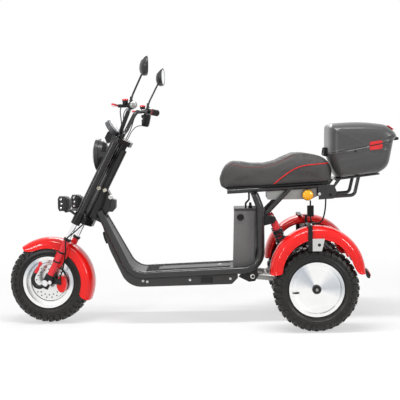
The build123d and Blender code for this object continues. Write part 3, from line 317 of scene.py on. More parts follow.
rings, inlet, outlet = group(
    "lathe_rings",
    [("Vector", VECTOR, (0, 0, 0)), ("Pitch", FLOAT, 900.0)],
    [("Height", FLOAT), ("Sheen", FLOAT)],
)
split = rings.nodes.new("ShaderNodeSeparateXYZ")
rings.links.new(inlet.outputs["Vector"], split.inputs[0])
squares = [maths(rings, "POWER", split.outputs[axis], 2.0) for axis in "XZ"]
spot = rings.nodes.new("ShaderNodeCombineXYZ")
rings.links.new(maths(rings, "SQRT", maths(rings, "ADD", *squares)), spot.inputs["X"])
rings.links.new(noise(rings, spot.outputs[0], inlet.outputs["Pitch"], 2.0), outlet.inputs["Height"])
rings.links.new(noise(rings, inlet.outputs["Vector"], 18.0, 3.0), outlet.inputs["Sheen"])
print("groups", [g.name for g in (grain, dust, rings)])

# %% [markdown]
# ## Finishes
# One function makes every finish: a Principled shader whose plain numbers sit on its own
# sockets, while grain and dust vary the colour, the roughness and the bump. A table
# gives the values, so paint, plastic, rubber and metal differ by numbers only.

# %% How a finish is made
TONE_SPREAD, RELIEF, DUST_COLOUR = (-0.4, 1.4), 0.0006, (0.30, 0.27, 0.23)


def mixed(tree, factor, a, b):
    """A colour between two colours, each plain or a socket, by a factor socket."""
    made = tree.nodes.new("ShaderNodeMix")
    made.data_type = "RGBA"
    tree.links.new(factor, made.inputs["Factor"])
    for side, value in (("A", a), ("B", b)):
        if isinstance(value, tuple):
            made.inputs[side].default_value = (*value, 1)
        else:
            tree.links.new(value, made.inputs[side])
    return made.outputs["Result"]


def ranged(tree, value, low, high):
    """A value from 0 to 1 stretched between two numbers."""
    made = tree.nodes.new("ShaderNodeMapRange")
    tree.links.new(value, made.inputs["Value"])
    made.inputs["To Min"].default_value = low
    made.inputs["To Max"].default_value = high
    return made.outputs["Result"]


def embossed(tree, height, strength, distance):
    """A Bump node from a height socket into the shader's normal."""
    made = tree.nodes.new("ShaderNodeBump")
    made.inputs["Strength"].default_value = strength
    made.inputs["Distance"].default_value = distance
    tree.links.new(height, made.inputs["Height"])
    tree.links.new(made.outputs[0], tree.nodes["Principled BSDF"].inputs["Normal"])


def finish(name, colour, shade, rough, bump, scale, dusty=0.0, **plain):
    """A material from two colours, a range of roughness and a grain; extras go on sockets."""
    made = bpy.data.materials.new(name)
    made.use_nodes = True
    tree = made.node_tree
    shader = tree.nodes["Principled BSDF"]
    marks = tree.nodes.new("ShaderNodeGroup")
    marks.node_tree = grain
    marks.inputs["Scale"].default_value = scale
    look = mixed(tree, ranged(tree, marks.outputs["Tone"], *TONE_SPREAD), colour, shade)
    if dusty:
        film = tree.nodes.new("ShaderNodeGroup")
        film.node_tree = dust
        film.inputs["Amount"].default_value = dusty
        look = mixed(tree, film.outputs["Mask"], look, DUST_COLOUR)
    tree.links.new(look, shader.inputs["Base Color"])
    tree.links.new(ranged(tree, marks.outputs["Tone"], *rough), shader.inputs["Roughness"])
    embossed(tree, marks.outputs["Height"], bump, RELIEF)
    for socket, value in plain.items():
        shader.inputs[socket.replace("_", " ")].default_value = value
    finishes[name] = made
    return made


# %% [markdown]
# The plain sockets come in a few sets, from dull rubber to a clear coat over paint. Black
# parts need the most care: a shiny black mirrors the white studio and turns grey, so each
# kind of black has its own strength of reflection.

# %% Table of finishes
GLOSS = dict(Coat_Weight=0.5, Coat_Roughness=0.02, Specular_IOR_Level=0.1)
METAL = dict(Metallic=1.0)
DULL = dict(Specular_IOR_Level=0.16)
SATIN = dict(Specular_IOR_Level=0.28)
STOVED = dict(Specular_IOR_Level=0.36)
PAINTED = dict(Specular_IOR_Level=0.45)
SHINY = dict(Specular_IOR_Level=0.5)
LENS = dict(Coat_Weight=0.5, Specular_IOR_Level=0.3)
FINISHES = [
    # name, colour, shade, roughness range, bump, grain scale, dust, plain sockets
    ("red_paint", (0.80, 0.008, 0.007), (0.72, 0.006, 0.005), (0.16, 0.26), 0.02, 300, 0.03, GLOSS),
    ("red_alloy", (0.80, 0.030, 0.042), (0.66, 0.022, 0.032), (0.20, 0.32), 0.05, 900, 0, GLOSS),
    ("frame_paint", (0.026, 0.026, 0.027), (0.020, 0.020, 0.021), (0.12, 0.20), 0.03, 700, 0.04, PAINTED),
    ("stove_black", (0.020, 0.020, 0.020), (0.015, 0.015, 0.015), (0.20, 0.30), 0.02, 700, 0, STOVED),
    ("cast_black", (0.008, 0.008, 0.009), (0.005, 0.005, 0.006), (0.26, 0.40), 0.20, 1100, 0.08, SATIN),
    ("moulded", (0.060, 0.059, 0.059), (0.044, 0.043, 0.043), (0.34, 0.48), 0.12, 1500, 0.06, DULL),
    ("case_plastic", (0.036, 0.036, 0.036), (0.026, 0.026, 0.026), (0.26, 0.36), 0.04, 1300, 0, SATIN),
    ("box_shell", (0.062, 0.061, 0.061), (0.048, 0.047, 0.047), (0.26, 0.36), 0.05, 1300, 0, SHINY),
    ("battery_cover", (0.150, 0.147, 0.148), (0.118, 0.115, 0.116), (0.36, 0.50), 0.12, 1500, 0.04, SATIN),
    ("pod_shell", (0.090, 0.092, 0.096), (0.070, 0.072, 0.076), (0.30, 0.42), 0.08, 1300, 0, SATIN),
    ("rubber", (0.016, 0.016, 0.016), (0.010, 0.010, 0.010), (0.50, 0.66), 0.25, 1200, 0, DULL),
    ("tyre_rubber", (0.014, 0.014, 0.014), (0.008, 0.008, 0.008), (0.30, 0.44), 0.22, 900, 0.10, SATIN),
    ("chrome", (0.90, 0.90, 0.92), (0.84, 0.84, 0.86), (0.04, 0.09), 0.01, 500, 0, METAL),
    ("zinc", (0.70, 0.70, 0.69), (0.56, 0.56, 0.55), (0.22, 0.36), 0.08, 1300, 0.06, METAL),
    ("disc_steel", (0.88, 0.88, 0.87), (0.72, 0.72, 0.71), (0.16, 0.28), 0.06, 900, 0, METAL),
    ("dull_steel", (0.36, 0.36, 0.35), (0.26, 0.26, 0.25), (0.38, 0.52), 0.12, 1000, 0.12, METAL),
    ("seat_cover", (0.078, 0.076, 0.075), (0.060, 0.058, 0.057), (0.46, 0.60), 0.35, 700, 0, DULL),
    ("red_cord", (0.72, 0.016, 0.020), (0.58, 0.012, 0.014), (0.42, 0.55), 0.30, 1800, 0, DULL),
    ("faded_cord", (0.22, 0.012, 0.012), (0.15, 0.009, 0.009), (0.46, 0.60), 0.30, 1800, 0, DULL),
    ("amber_lens", (0.95, 0.47, 0.008), (0.90, 0.40, 0.006), (0.10, 0.16), 0.05, 700, 0, LENS),
    ("red_lens", (0.66, 0.014, 0.018), (0.54, 0.010, 0.013), (0.08, 0.14), 0.04, 700, 0, LENS),
    ("pale_glass", (0.80, 0.82, 0.84), (0.74, 0.76, 0.78), (0.03, 0.07), 0.01, 300, 0, LENS),
    ("mirror_glass", (0.90, 0.92, 0.93), (0.87, 0.89, 0.90), (0.01, 0.03), 0.005, 300, 0, METAL),
    ("lamp_silver", (0.90, 0.90, 0.89), (0.84, 0.84, 0.83), (0.10, 0.18), 0.04, 500, 0, METAL),
    ("cream_plastic", (0.66, 0.62, 0.53), (0.54, 0.50, 0.42), (0.36, 0.48), 0.08, 1100, 0.08, DULL),
    ("lead_cover", (0.009, 0.009, 0.009), (0.006, 0.006, 0.006), (0.34, 0.48), 0.15, 1500, 0, DULL),
]
for name, colour, shade, rough, bump, scale, dusty, plain in FINISHES:
    finish(name, colour, shade, rough, bump, scale, dusty, **plain)
print("finishes", len(finishes))

# %% [markdown]
# ## Clear glass and turned wheels
# Two finishes need more than the table. The lamp's front is clear glass, so light has to
# pass through it. The wheels' faces were turned on a lathe: the rings group is centred
# on each axle by a Mapping node and drives both the bump and the roughness. A colour ramp
# that follows the angle about the axle paints brighter and darker sweeps of reflection into
# the base colour: painted reflection, bluish in the darker sweeps.

# %% Glass and turned alloy
clear = finish("clear_lens", (0.96, 0.97, 0.98), (0.93, 0.95, 0.96), (0.02, 0.05), 0.02, 60)
for socket, value in (("Transmission Weight", 0.5), ("IOR", 1.2)):
    clear.node_tree.nodes["Principled BSDF"].inputs[socket].default_value = value

RAKE, PARK_TURN = radians(27.3), radians(6)
TYRE_R, LUG_HALF = 215 * MM, 36 * MM
PARK_TILT = asin(sin(PARK_TURN) * sin(RAKE))
AXLE_HIGH = TYRE_R * cos(PARK_TILT) + LUG_HALF * sin(PARK_TILT)
FRONT_HUB = np.array((0.815, 0, AXLE_HIGH))
REAR_HUB = np.array((-0.563, 0.296, 0.215))
# Painted reflection: brighter and darker sweeps by the angle about the axle, multiplied into the alloy's
# colour.
REFLECTION_SWEEPS = [
    # share of a turn from straight down, brightness of the painted reflection
    (0.0, 1.0), (0.18, 1.0), (0.26, 0.62), (0.33, 0.70), (0.42, 1.0),
    (0.55, 1.0), (0.60, 0.55), (0.66, 0.66), (0.74, 1.0), (1.0, 1.0),
]
# Share of green and blue that the darker painted-reflection sweeps keep, which tints them blue.
GREEN_KEPT, BLUE_KEPT = 0.08, 0.2


def turned_alloy(name, centre):
    """Bright alloy with lathe rings about a wheel's centre and sweeps of painted reflection round it."""
    made = finish(name, (0.95, 0.95, 0.94), (0.86, 0.86, 0.86), (0.1, 0.2), 0.1, 900, Metallic=1.0)
    tree = made.node_tree
    shader = tree.nodes["Principled BSDF"]
    shift = tree.nodes.new("ShaderNodeMapping")
    shift.inputs["Location"].default_value = tuple(-centre)
    tree.links.new(tree.nodes.new("ShaderNodeTexCoord").outputs["Object"], shift.inputs["Vector"])
    marks = tree.nodes.new("ShaderNodeGroup")
    marks.node_tree = rings
    tree.links.new(shift.outputs[0], marks.inputs["Vector"])
    tree.links.new(ranged(tree, marks.outputs["Sheen"], 0.14, 0.30), shader.inputs["Roughness"])
    apart = tree.nodes.new("ShaderNodeSeparateXYZ")
    tree.links.new(shift.outputs[0], apart.inputs[0])
    turn_share = tree.nodes.new("ShaderNodeMapRange")
    turn_share.inputs["From Min"].default_value = -np.pi
    turn_share.inputs["From Max"].default_value = np.pi
    angle = maths(tree, "ARCTAN2", apart.outputs["X"], apart.outputs["Z"])
    tree.links.new(angle, turn_share.inputs["Value"])
    # Painted reflection: the ramp makes brighter and darker sweeps round the axle in the base colour.
    sweep = tree.nodes.new("ShaderNodeValToRGB")
    for at, shine in REFLECTION_SWEEPS[1:-1]:
        sweep.color_ramp.elements.new(at)
    for stop, (at, shine) in zip(sweep.color_ramp.elements, REFLECTION_SWEEPS):
        stop.position = at
        stop.color = (shine, shine + (1 - shine) * GREEN_KEPT, shine + (1 - shine) * BLUE_KEPT, 1)
    tree.links.new(turn_share.outputs["Result"], sweep.inputs[0])
    tint = tree.nodes.new("ShaderNodeMix")
    tint.data_type, tint.blend_type = "RGBA", "MULTIPLY"
    tint.inputs["Factor"].default_value = 1.0
    tree.links.new(shader.inputs["Base Color"].links[0].from_socket, tint.inputs["A"])
    tree.links.new(sweep.outputs["Color"], tint.inputs["B"])
    tree.links.new(tint.outputs["Result"], shader.inputs["Base Color"])
    embossed(tree, marks.outputs["Height"], 0.12, 0.0004)


turned_alloy("front_alloy", FRONT_HUB)
turned_alloy("rear_alloy", REAR_HUB)
print("hub heights", FRONT_HUB[2], REAR_HUB[2])

# %% [markdown]
# ## Finishes on the frame's own pieces
# A CAD piece whose shape is right keeps its shape and only gets a finish. The table pairs
# each finish with the nodes that wear it, and the count shows that none was forgotten.

# %% Dress the nodes
WEARS = {
    "tyre_rubber": ["front_tyre", "rear_tyre_left", "rear_tyre_right"],
    "front_alloy": ["front_rim"],
    "rear_alloy": ["rear_rim_left", "rear_rim_right"],
    "zinc": ["front_axle", "rear_axle", "fender_plates"],
    "disc_steel": ["front_brake_disc"],
    "dull_steel": ["swing_arm", "controller_box"],
    "chrome": ["fork_stanchions"],
    "red_paint": ["front_fender", "rear_fender_left", "rear_fender_right", "front_caliper"],
    "red_alloy": ["fork_sliders", "brake_levers", "shock_bodies"],
    "frame_paint": ["frame_tube_left", "frame_tube_right", "seat_frame", "rack"],
    "stove_black": ["fork_upper_tubes", "handlebar", "neck"],
    "cast_black": ["fork_ends", "lower_yoke", "upper_yoke", "lever_clamps", "mirrors", "pivot_plates",
                   "drive_motor", "shock_springs", "shock_mount", "fender_stays", "horn"],
    "moulded": ["footboard", "belly_pan", "lock_box", "switch_box"],
    "battery_cover": ["battery"],
    "pod_shell": ["instrument"],
    "case_plastic": ["headlight_shell", "headlight_bezel", "aux_lamps"],
    "box_shell": ["box_tub", "box_lid"],
    "rubber": ["grips"],
    "lead_cover": ["brake_hose", "battery_lead", "lamp_lead", "lamp_plug"],
    "seat_cover": ["seat"],
    "clear_lens": ["headlight_lens"],
    "amber_lens": ["side_lamps"],
    "red_lens": ["tail_lamp"],
}
for look, names in WEARS.items():
    for name in names:
        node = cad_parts[name]
        node.data.materials.clear()
        node.data.materials.append(finishes[look])
print("dressed", sum(map(len, WEARS.values())), "of", len(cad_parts))

# %% [markdown]
# ## Turning with the steering
# In the photograph the front wheel is turned a few degrees to the right. Pieces on the
# fork are easier to think of with the wheel straight, so they are worked out that way
# and this function turns their points about the steering axis.

# %% Parked steering
STEER_WAY = np.array((-sin(RAKE), 0, cos(RAKE)))
FORK_LEAD = 36 * MM
STEER_FOOT = FRONT_HUB - FORK_LEAD * np.array((cos(RAKE), 0, sin(RAKE)))


def parked(shells):
    """Points turned about the steering axis by the parked angle (Rodrigues' formula)."""
    turned = []
    for points, faces in shells:
        p = np.asarray(points) - STEER_FOOT
        along = (p @ STEER_WAY)[:, None] * STEER_WAY
        side = np.cross(np.broadcast_to(STEER_WAY, p.shape), p)
        spun = along + (p - along) * cos(-PARK_TURN) + side * sin(-PARK_TURN)
        turned.append((spun + STEER_FOOT, faces))
    return turned


def steered(name, shells, *look):
    """A piece of the fork: worked out with the wheel straight ahead, then parked."""
    return piece(name, parked(shells), "steering", *look)


def up_fork(lead, y, t):
    """A point a lead ahead of the steering axis, to the left, and up from the axle."""
    ahead_way = np.array((cos(RAKE), 0, sin(RAKE)))
    return STEER_FOOT + lead * ahead_way + np.array((0, y, 0)) + t * STEER_WAY


print("steering foot", STEER_FOOT.round(4))

# %% [markdown]
# ## Knobbly tyres
# The tyre is a smooth carcass with rubber blocks standing on it: two rows round the middle
# and one on each shoulder that folds over the edge. The carcass is a lathe. A block is a
# small grid that follows the carcass by an angle and a place across it, so one function
# makes all blocks of a row at once.

# %% Tyres
LUG_COUNT, LUG_HIGH, LUG_WIDE = 36, 10 * MM, 0.098
CARCASS = np.array([
    # side distance, radius
    (53, 128), (53, 138), (56.5, 140), (59, 142), (59, 145), (57.6, 147), (60, 152), (62.6, 157),
    (64.6, 158.4), (64.6, 161), (63.2, 162.4), (63.6, 172), (62.6, 182), (59.6, 189), (54, 196),
    (46, 200.5), (34, 203.5), (20, 204.8), (0, 205),
]) * MM
CARCASS = np.concatenate([CARCASS, CARCASS[-2::-1] * (-1, 1)])


def lug_row(start, end, first, wide, high):
    """Blocks from one place to another across the carcass, evenly round the wheel.

    A point at angle a and place s is the carcass point at s, lifted along its normal;
    the top is narrower than the foot, so the block has drafted sides.
    """
    length = np.concatenate([[0], np.cumsum(np.linalg.norm(np.diff(CARCASS, axis=0), axis=1))])
    middle = length[-1] / 2
    rows = []
    for lift, trim in ((-1.5 * MM, 1.0), (high, 0.80)):
        mid, half = (start + end) / 2, (end - start) / 2 * (0.92 if trim < 1 else 1.0)
        s = middle + np.linspace(mid - half, mid + half, 5)
        spot = np.stack([np.interp(s, length, CARCASS[:, k]) for k in (0, 1)], -1)
        way = unit(np.gradient(spot, axis=0))
        normal = np.stack([way[:, 1], -way[:, 0]], -1)
        normal *= np.sign(normal[:, 1:] + 1e-9)
        side_radius = spot + lift * normal
        angle = first + np.arange(LUG_COUNT)[:, None] * 2 * np.pi / LUG_COUNT
        angle = angle + np.array((-1, 1)) * wide * trim / 2
        y, r = side_radius[:, 0], side_radius[:, 1]
        x = r * np.cos(angle)[..., None]
        z = r * np.sin(angle)[..., None]
        rows.append(np.stack([x, np.broadcast_to(y, x.shape), z], -1))
    block = np.concatenate([rows[0][:, :1], rows[1], rows[0][:, 1:]], 1)
    lines, across = block.shape[1:3]
    faces = grid_faces(lines, across, wrap_rows=True).tolist()
    ends = [[i * across for i in range(lines)], [i * across + across - 1 for i in range(lines)]]
    return [(b.reshape(-1, 3), faces + ends) for b in block]


def knobbly_tyre():
    """A carcass turned about Y and four rows of blocks, about the origin."""
    shells = [lathe(np.concatenate([CARCASS, CARCASS[:1]]), (0, 0, 0), (0, 1, 0), 96)]
    half_pitch = np.pi / LUG_COUNT
    for sign in SIDES:
        inner, outer = sorted((sign * 4 * MM, sign * 34 * MM))
        shells += lug_row(inner, outer, 0, LUG_WIDE, LUG_HIGH)
        inner, outer = sorted((sign * 41 * MM, sign * 80 * MM))
        shells += lug_row(inner, outer, half_pitch, LUG_WIDE, LUG_HIGH * 0.8)
    return shells


def moved(shells, by):
    """Shells shifted by a vector."""
    return [(np.asarray(points) + by, faces) for points, faces in shells]


rubber_tyre = knobbly_tyre()
TYRES = [
    # node, body, shells in place
    ("front_tyre", "front_wheel", parked(moved(rubber_tyre, FRONT_HUB))),
    ("rear_tyre_left", "rear_wheel_left", moved(rubber_tyre, REAR_HUB)),
    ("rear_tyre_right", "rear_wheel_right", moved(rubber_tyre, REAR_HUB * (1, -1, 1))),
]
for node, body, shells in TYRES:
    tyre = piece(node + "_knobbly", shells, body, "tyre_rubber", "tyre", 50)
    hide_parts(node)

# %% [markdown]
# ## The padded seat
# The saddle is a foam block under a stretched cover: a nose that rolls over, a dip for the
# rider and a step up to the passenger's place. Its base form is a section carried along
# the length: a superellipse whose height and width come from a short table. Cloth under
# a little pressure then swells the cover the way foam does.

# %% Seat form
SEAT_ROWS = np.array([
    # x, bottom, top, half width
    (-90, 722, 736, 50), (-94, 712, 764, 62), (-104, 704, 796, 74), (-122, 701, 822, 84),
    (-150, 702, 838, 93), (-200, 704, 835, 101), (-260, 707, 825, 108), (-320, 709, 824, 115),
    (-370, 711, 834, 121), (-420, 714, 856, 126), (-470, 716, 876, 129), (-520, 718, 876, 130),
    (-580, 721, 866, 130), (-630, 723, 854, 128), (-652, 724, 838, 122), (-666, 726, 806, 114),
    (-669, 734, 792, 104),
]) * MM
SEAT_SIDES, SEAT_STEPS = 96, 72


def seat_form(rows):
    """y = half * |cos a|^k, z = middle + rise * |sin a|^k, with the signs of cos a and sin a."""
    order = np.linspace(0, 1, len(rows))
    fine = np.linspace(0, 1, SEAT_STEPS)
    x, low, top, half = (np.interp(fine, order, c)[:, None] for c in rows.T)
    a = np.linspace(0, 2 * np.pi, SEAT_SIDES, endpoint=False)[None, :]
    c, s = np.cos(a), np.sin(a)
    power = np.where(s > 0, 0.36, 0.28)
    y = half * np.sign(c) * np.abs(c) ** power * (1 - 0.05 * np.maximum(s, 0) ** 2)
    z = (low + top) / 2 + (top - low) / 2 * np.sign(s) * np.abs(s) ** power
    points = np.stack(np.broadcast_arrays(x, y, z), -1)
    faces = grid_faces(SEAT_STEPS, SEAT_SIDES, wrap_cols=True).tolist()
    last = (SEAT_STEPS - 1) * SEAT_SIDES
    caps = [list(range(start, start + SEAT_SIDES)) for start in (0, last)]
    return points.reshape(-1, 3), faces + caps


seat = piece("saddle", [seat_form(SEAT_ROWS)], "chassis", "seat_cover", "seat_cover", 0)
seat.data.shade_smooth()
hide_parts("seat")

# %% [markdown]
# The form is remeshed to even squares, because cloth needs them. Pressure from inside
# with no gravity swells it, and no point may move further than a few millimetres, so
# the seat keeps to the rails below and the box behind.

# %% Swell the cover
VOXEL, PRESSURE, SWELL_CAP, SWELL_FRAMES = 0.006, 4, 0.005, 20


def applied(obj):
    """The object's mesh with its modifiers worked in."""
    mesh = bpy.data.meshes.new_from_object(obj.evaluated_get(bpy.context.evaluated_depsgraph_get()))
    obj.modifiers.clear()
    old, obj.data = obj.data, mesh
    bpy.data.meshes.remove(old)
    return mesh


def points_of(mesh):
    """All points of a mesh as one array."""
    flat = np.empty(len(mesh.vertices) * 3, np.float32)
    mesh.vertices.foreach_get("co", flat)
    return flat.reshape(-1, 3).astype(float)


even = seat.modifiers.new("even", "REMESH")
even.mode, even.voxel_size, even.use_smooth_shade = "VOXEL", VOXEL, True
calm = seat.modifiers.new("calm", "SMOOTH")
calm.factor, calm.iterations = 0.5, 6
applied(seat)
before = points_of(seat.data)
cover = seat.modifiers.new("cover", "CLOTH")
cover.settings.use_pressure = True
cover.settings.uniform_pressure_force = PRESSURE
cover.settings.effector_weights.gravity = 0
for step in range(1, SWELL_FRAMES + 1):
    scene.frame_set(step)
applied(seat)
scene.frame_set(1)
after = points_of(seat.data)
move = after - before
length = np.linalg.norm(move, axis=1, keepdims=True)
move *= np.minimum(1, SWELL_CAP / np.maximum(length, 1e-9))
print("seat points", len(before), "moved by", round(float(length.max()) / MM, 1), "mm before the cap")

# %% [markdown]
# The top panel is quilted: the cover is pulled down along two families of slanting lines,
# which leaves soft diamonds between them. The pull is a narrow valley about each line
# and fades out towards the edge of the panel.

# %% Quilt the top panel
QUILT_STEP, QUILT_DEEP, VALLEY = 0.046, 0.0032, 0.0065
PANEL_FRONT, PANEL_REAR, PANEL_SHARE, PANEL_FADE = -0.135, -0.455, 0.80, 0.02


def quilted(points):
    """z goes down by depth * sum of exp(-(d / valley)^2), d the way to the nearest line."""
    x, y, z = points.T
    top = np.interp(-x, -SEAT_ROWS[:, 0], SEAT_ROWS[:, 2])
    half = np.interp(-x, -SEAT_ROWS[:, 0], SEAT_ROWS[:, 3])
    panel = np.clip((z - top + 0.034) / 0.016, 0, 1)
    panel = panel * np.clip((half * PANEL_SHARE - np.abs(y)) / 0.012, 0, 1)
    panel = panel * np.clip((PANEL_FRONT - x) / PANEL_FADE, 0, 1)
    panel = panel * np.clip((x - PANEL_REAR) / PANEL_FADE, 0, 1)
    pull = np.zeros(len(x))
    for slant in (1, -1):
        d = (x + slant * y) / 2 ** 0.5
        d = np.abs((d / QUILT_STEP + 0.5) % 1 - 0.5) * QUILT_STEP
        pull = np.maximum(pull, np.exp(-(d / VALLEY) ** 2))
    return points - np.stack([0 * x, 0 * x, QUILT_DEEP * panel * pull], -1)


finer = seat.modifiers.new("finer", "SUBSURF")
finer.levels = finer.render_levels = 1
seat.data.vertices.foreach_set("co", (before + move).ravel())
applied(seat)
seat.data.vertices.foreach_set("co", quilted(points_of(seat.data)).ravel())
seat.data.update()
seat.data.shade_smooth()
print("seat faces", len(seat.data.polygons))

# %% [markdown]
# ## Piping on the seat
# A red cord is sewn into the seat's side: a thin one along the edge of the top panel and a
# thick one that sweeps up from the rail to the passenger's place. Each is a tube along
# a line drawn in side view and dropped onto the cover by casting rays across.

# %% Piping
PIPINGS = [
    # name, finish, radius, line in side view
    ("thin_piping", "faded_cord", 1.2,
     [(-138, 829), (-180, 822), (-223, 813), (-280, 808), (-325, 812), (-377, 824), (-420, 845),
      (-452, 864), (-480, 869)]),
    ("thick_piping", "red_cord", 2.6,
     [(-371, 724), (-395, 744), (-425, 768), (-455, 789), (-486, 806), (-515, 816), (-560, 821),
      (-610, 825), (-650, 828)]),
]
for name, look, radius, drawn in PIPINGS:
    line = smooth_line(np.array(drawn) * MM, 90)
    shells = []
    for sign in SIDES:
        starts = np.stack([line[:, 0], np.full(len(line), 0.3 * sign), line[:, 1]], -1)
        hits = [seat.ray_cast(s, (0, -sign, 0), distance=0.5)[1] for s in starts.tolist()]
        shells.append(tube(smooth_line(hits, 90), radius * MM, sides=10))
    piece(name, shells, "chassis", look, "red_paint")

# %% [markdown]
# ## Coil springs
# Each rear shock has a black coil over its damper. A helix is a point that turns about the
# damper's axis while it climbs, and a round wire follows it. The climb is uneven: the turns
# lie closer together at both ends and about the middle.

# %% Springs
SHOCK_TOP, SHOCK_LOW = np.array((-0.364, 0.542)), np.array((-0.474, 0.256))
SHOCK_Y = 0.088
COIL_FROM, COIL_TO, COIL_R, WIRE_R, COIL_TURNS = 0.058, 0.250, 0.0218, 0.0050, 13.5


def coil(y):
    """centre + climb * axis + R * (cos(turn) * first + sin(turn) * second)."""
    way = unit(SHOCK_LOW - SHOCK_TOP)
    axis, first, second = frame_about((way[0], 0, way[1]))
    t = np.linspace(0, 1, 400)
    uneven = t - 0.035 * np.sin(4 * np.pi * t)
    climb = COIL_FROM + WIRE_R + (COIL_TO - COIL_FROM - 2 * WIRE_R) * uneven
    turn_by = 2 * np.pi * COIL_TURNS * t
    centre = np.array((SHOCK_TOP[0], y, SHOCK_TOP[1])) + climb[:, None] * axis
    line = centre + COIL_R * (np.cos(turn_by)[:, None] * first + np.sin(turn_by)[:, None] * second)
    return tube(line, WIRE_R, across=axis, sides=10)


springs = piece("coil_springs", [coil(SHOCK_Y), coil(-SHOCK_Y)], "chassis", "cast_black", "black_paint")
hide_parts("shock_springs")

# %% [markdown]
# ## The lamp's lead
# Below the left amber lamp a plug hangs on its tail, and a slack lead runs from it back up
# to the rack. A lead is a curve: the points below are the route's corners, and an
# order-three curve rounds them all smoothly.

# %% Lead
LEAD_Y, LEAD_R = 0.100, 0.004
LEAD_ROUTE = [(-558, 553), (-558, 516), (-616, 516), (-637, 590), (-637, 643.2)]
wire = bpy.data.curves.new("lamp_lead_cord", "CURVE")
wire.dimensions = "3D"
wire.bevel_depth, wire.bevel_resolution, wire.resolution_u = LEAD_R, 4, 16
wire.use_fill_caps = True
run = wire.splines.new("NURBS")
run.points.add(len(LEAD_ROUTE) - 1)
corners = [(x * MM, LEAD_Y, z * MM, 1) for x, z in LEAD_ROUTE]
run.points.foreach_set("co", np.array(corners).ravel())
run.order_u = 3
run.use_endpoint_u = True
lead = bpy.data.objects.new("lamp_lead_cord", wire)
scene.collection.objects.link(lead)
wire.materials.append(finishes["lead_cover"])
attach(lead, "chassis")
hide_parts("lamp_lead")

# %% [markdown]
# ## Mudguards
# The guards are pressed sheet: a round-shouldered channel bent about the wheel. Lathing a
# thick profile would give square ends, so the section is carried round by an angle and
# its skirts grow shorter towards the two tips, which rounds them in side view. The lower
# edges are rolled over a wire, which is a thin tube along the first and last lines.

# %% Mudguards
SHEET, BEAD_R = 3 * MM, 2.4 * MM
GUARD_STEPS, GUARD_SIDES, TIP_SHARE = 97, 33, 0.42


def mudguard(centre, crown, skirts, edges, start, end, tips, shoulder=2.7):
    """Section: y = mid + half * |cos v|^p, r = skirt + (crown - skirt) * |sin v|^p.

    p is 2 / shoulder. The angle a from the top falls from start to end, and the skirt rises
    towards the crown at the tips.
    """
    v = np.linspace(0, np.pi, GUARD_SIDES)
    a = np.radians(np.linspace(start, end, GUARD_STEPS))
    p = 2 / shoulder
    mid, half = (edges[0] + edges[1]) / 2, (edges[0] - edges[1]) / 2
    tip = np.minimum((a[0] - a) / radians(tips[0]), (a - a[-1]) / radians(tips[1]))
    round_off = np.sqrt(np.clip(1 - (1 - np.clip(tip, 0, 1)) ** 2, 0, 1))[:, None]
    skirt = np.interp(v, (0, np.pi), skirts)[None, :]
    skirt = crown - (crown - skirt) * (TIP_SHARE + (1 - TIP_SHARE) * round_off)
    rows = []
    for inset in (0, SHEET):
        y = mid + (half - inset) * np.sign(np.cos(v)) * np.abs(np.cos(v)) ** p
        r = skirt + (crown - inset - skirt) * np.abs(np.sin(v)) ** p
        x = centre[0] + r * np.sin(a)[:, None]
        z = centre[2] + r * np.cos(a)[:, None]
        rows.append(np.stack(np.broadcast_arrays(x, y[None, :], z), -1))
    ring = np.concatenate([rows[0], rows[1][:, ::-1]], 1)
    n = ring.shape[1]
    faces = grid_faces(GUARD_STEPS, n, wrap_cols=True)
    k = np.arange(n // 2 - 1)
    cap = np.stack([k, k + 1, n - 2 - k, n - 1 - k], -1)
    return ring.reshape(-1, 3), faces.tolist() + cap.tolist() + (cap + (GUARD_STEPS - 1) * n).tolist()


def rolled_edges(shell):
    """A thin tube along the first and the last outer line of a mudguard's grid."""
    lines = shell[0].reshape(GUARD_STEPS, -1, 3)
    return [tube(lines[:, column], BEAD_R, sides=10) for column in (0, GUARD_SIDES - 1)]


GUARD_CENTRE = np.array((-0.571, 0, 0.291))
pad = np.array([(-12, -2), (12, -2), (12, 2), (-12, 2)]) * MM
pads = [plate(pad, up_fork(FORK_LEAD, s * 77.5 * MM, 0.192), (cos(RAKE), 0, sin(RAKE)), (0, 1, 0), 0.024)
        for s in SIDES]
sheet = mudguard(FRONT_HUB, 0.237, (0.182, 0.182), (0.076, -0.076), 36, -114, (18, 6))
guard = steered("front_mudguard", [sheet] + rolled_edges(sheet) + pads, "red_paint", "red_paint")
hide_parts("front_fender")
sheet = mudguard(GUARD_CENTRE, 0.236, (0.178, 0.206), (0.372, 0.218), 90, -90, (5, 20))
for node, sign in (("rear_fender_left", 1), ("rear_fender_right", -1)):
    shells = [(points * (1, sign, 1), faces) for points, faces in [sheet] + rolled_edges(sheet)]
    guard = piece(node.replace("fender", "mudguard"), shells, "chassis", "red_paint", "red_paint")
    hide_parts(node)

# %% [markdown]
# ## Headlight
# Behind the clear front of the headlight sits a bright dish with a bulb in its middle. All
# three are round, so each is a profile turned on the lathe about the lamp's own axis. The
# front bulges, and its dome takes the place of the flat lens in the frame.

# %% Headlight
LAMP_AXIS = up_fork(0.093, 0, 0.723)
dish = [(0.6, 0), (0.7, 16), (2.2, 40), (6.6, 68.5), (7.3, 68.5), (3.0, 40), (1.4, 16), (1.2, 0)]
bulb = np.array([(1.3, 0), (1.3, 11), (4.8, 9), (6.4, 4), (6.6, 0)]) * MM
steered("headlight_dish", [lathe(np.array(dish) * MM, LAMP_AXIS, (1, 0, 0), 64)], "lamp_silver", "chrome")
steered("headlight_bulb", [lathe(bulb, LAMP_AXIS, (1, 0, 0), 32)], "lamp_silver", "clear_lens")

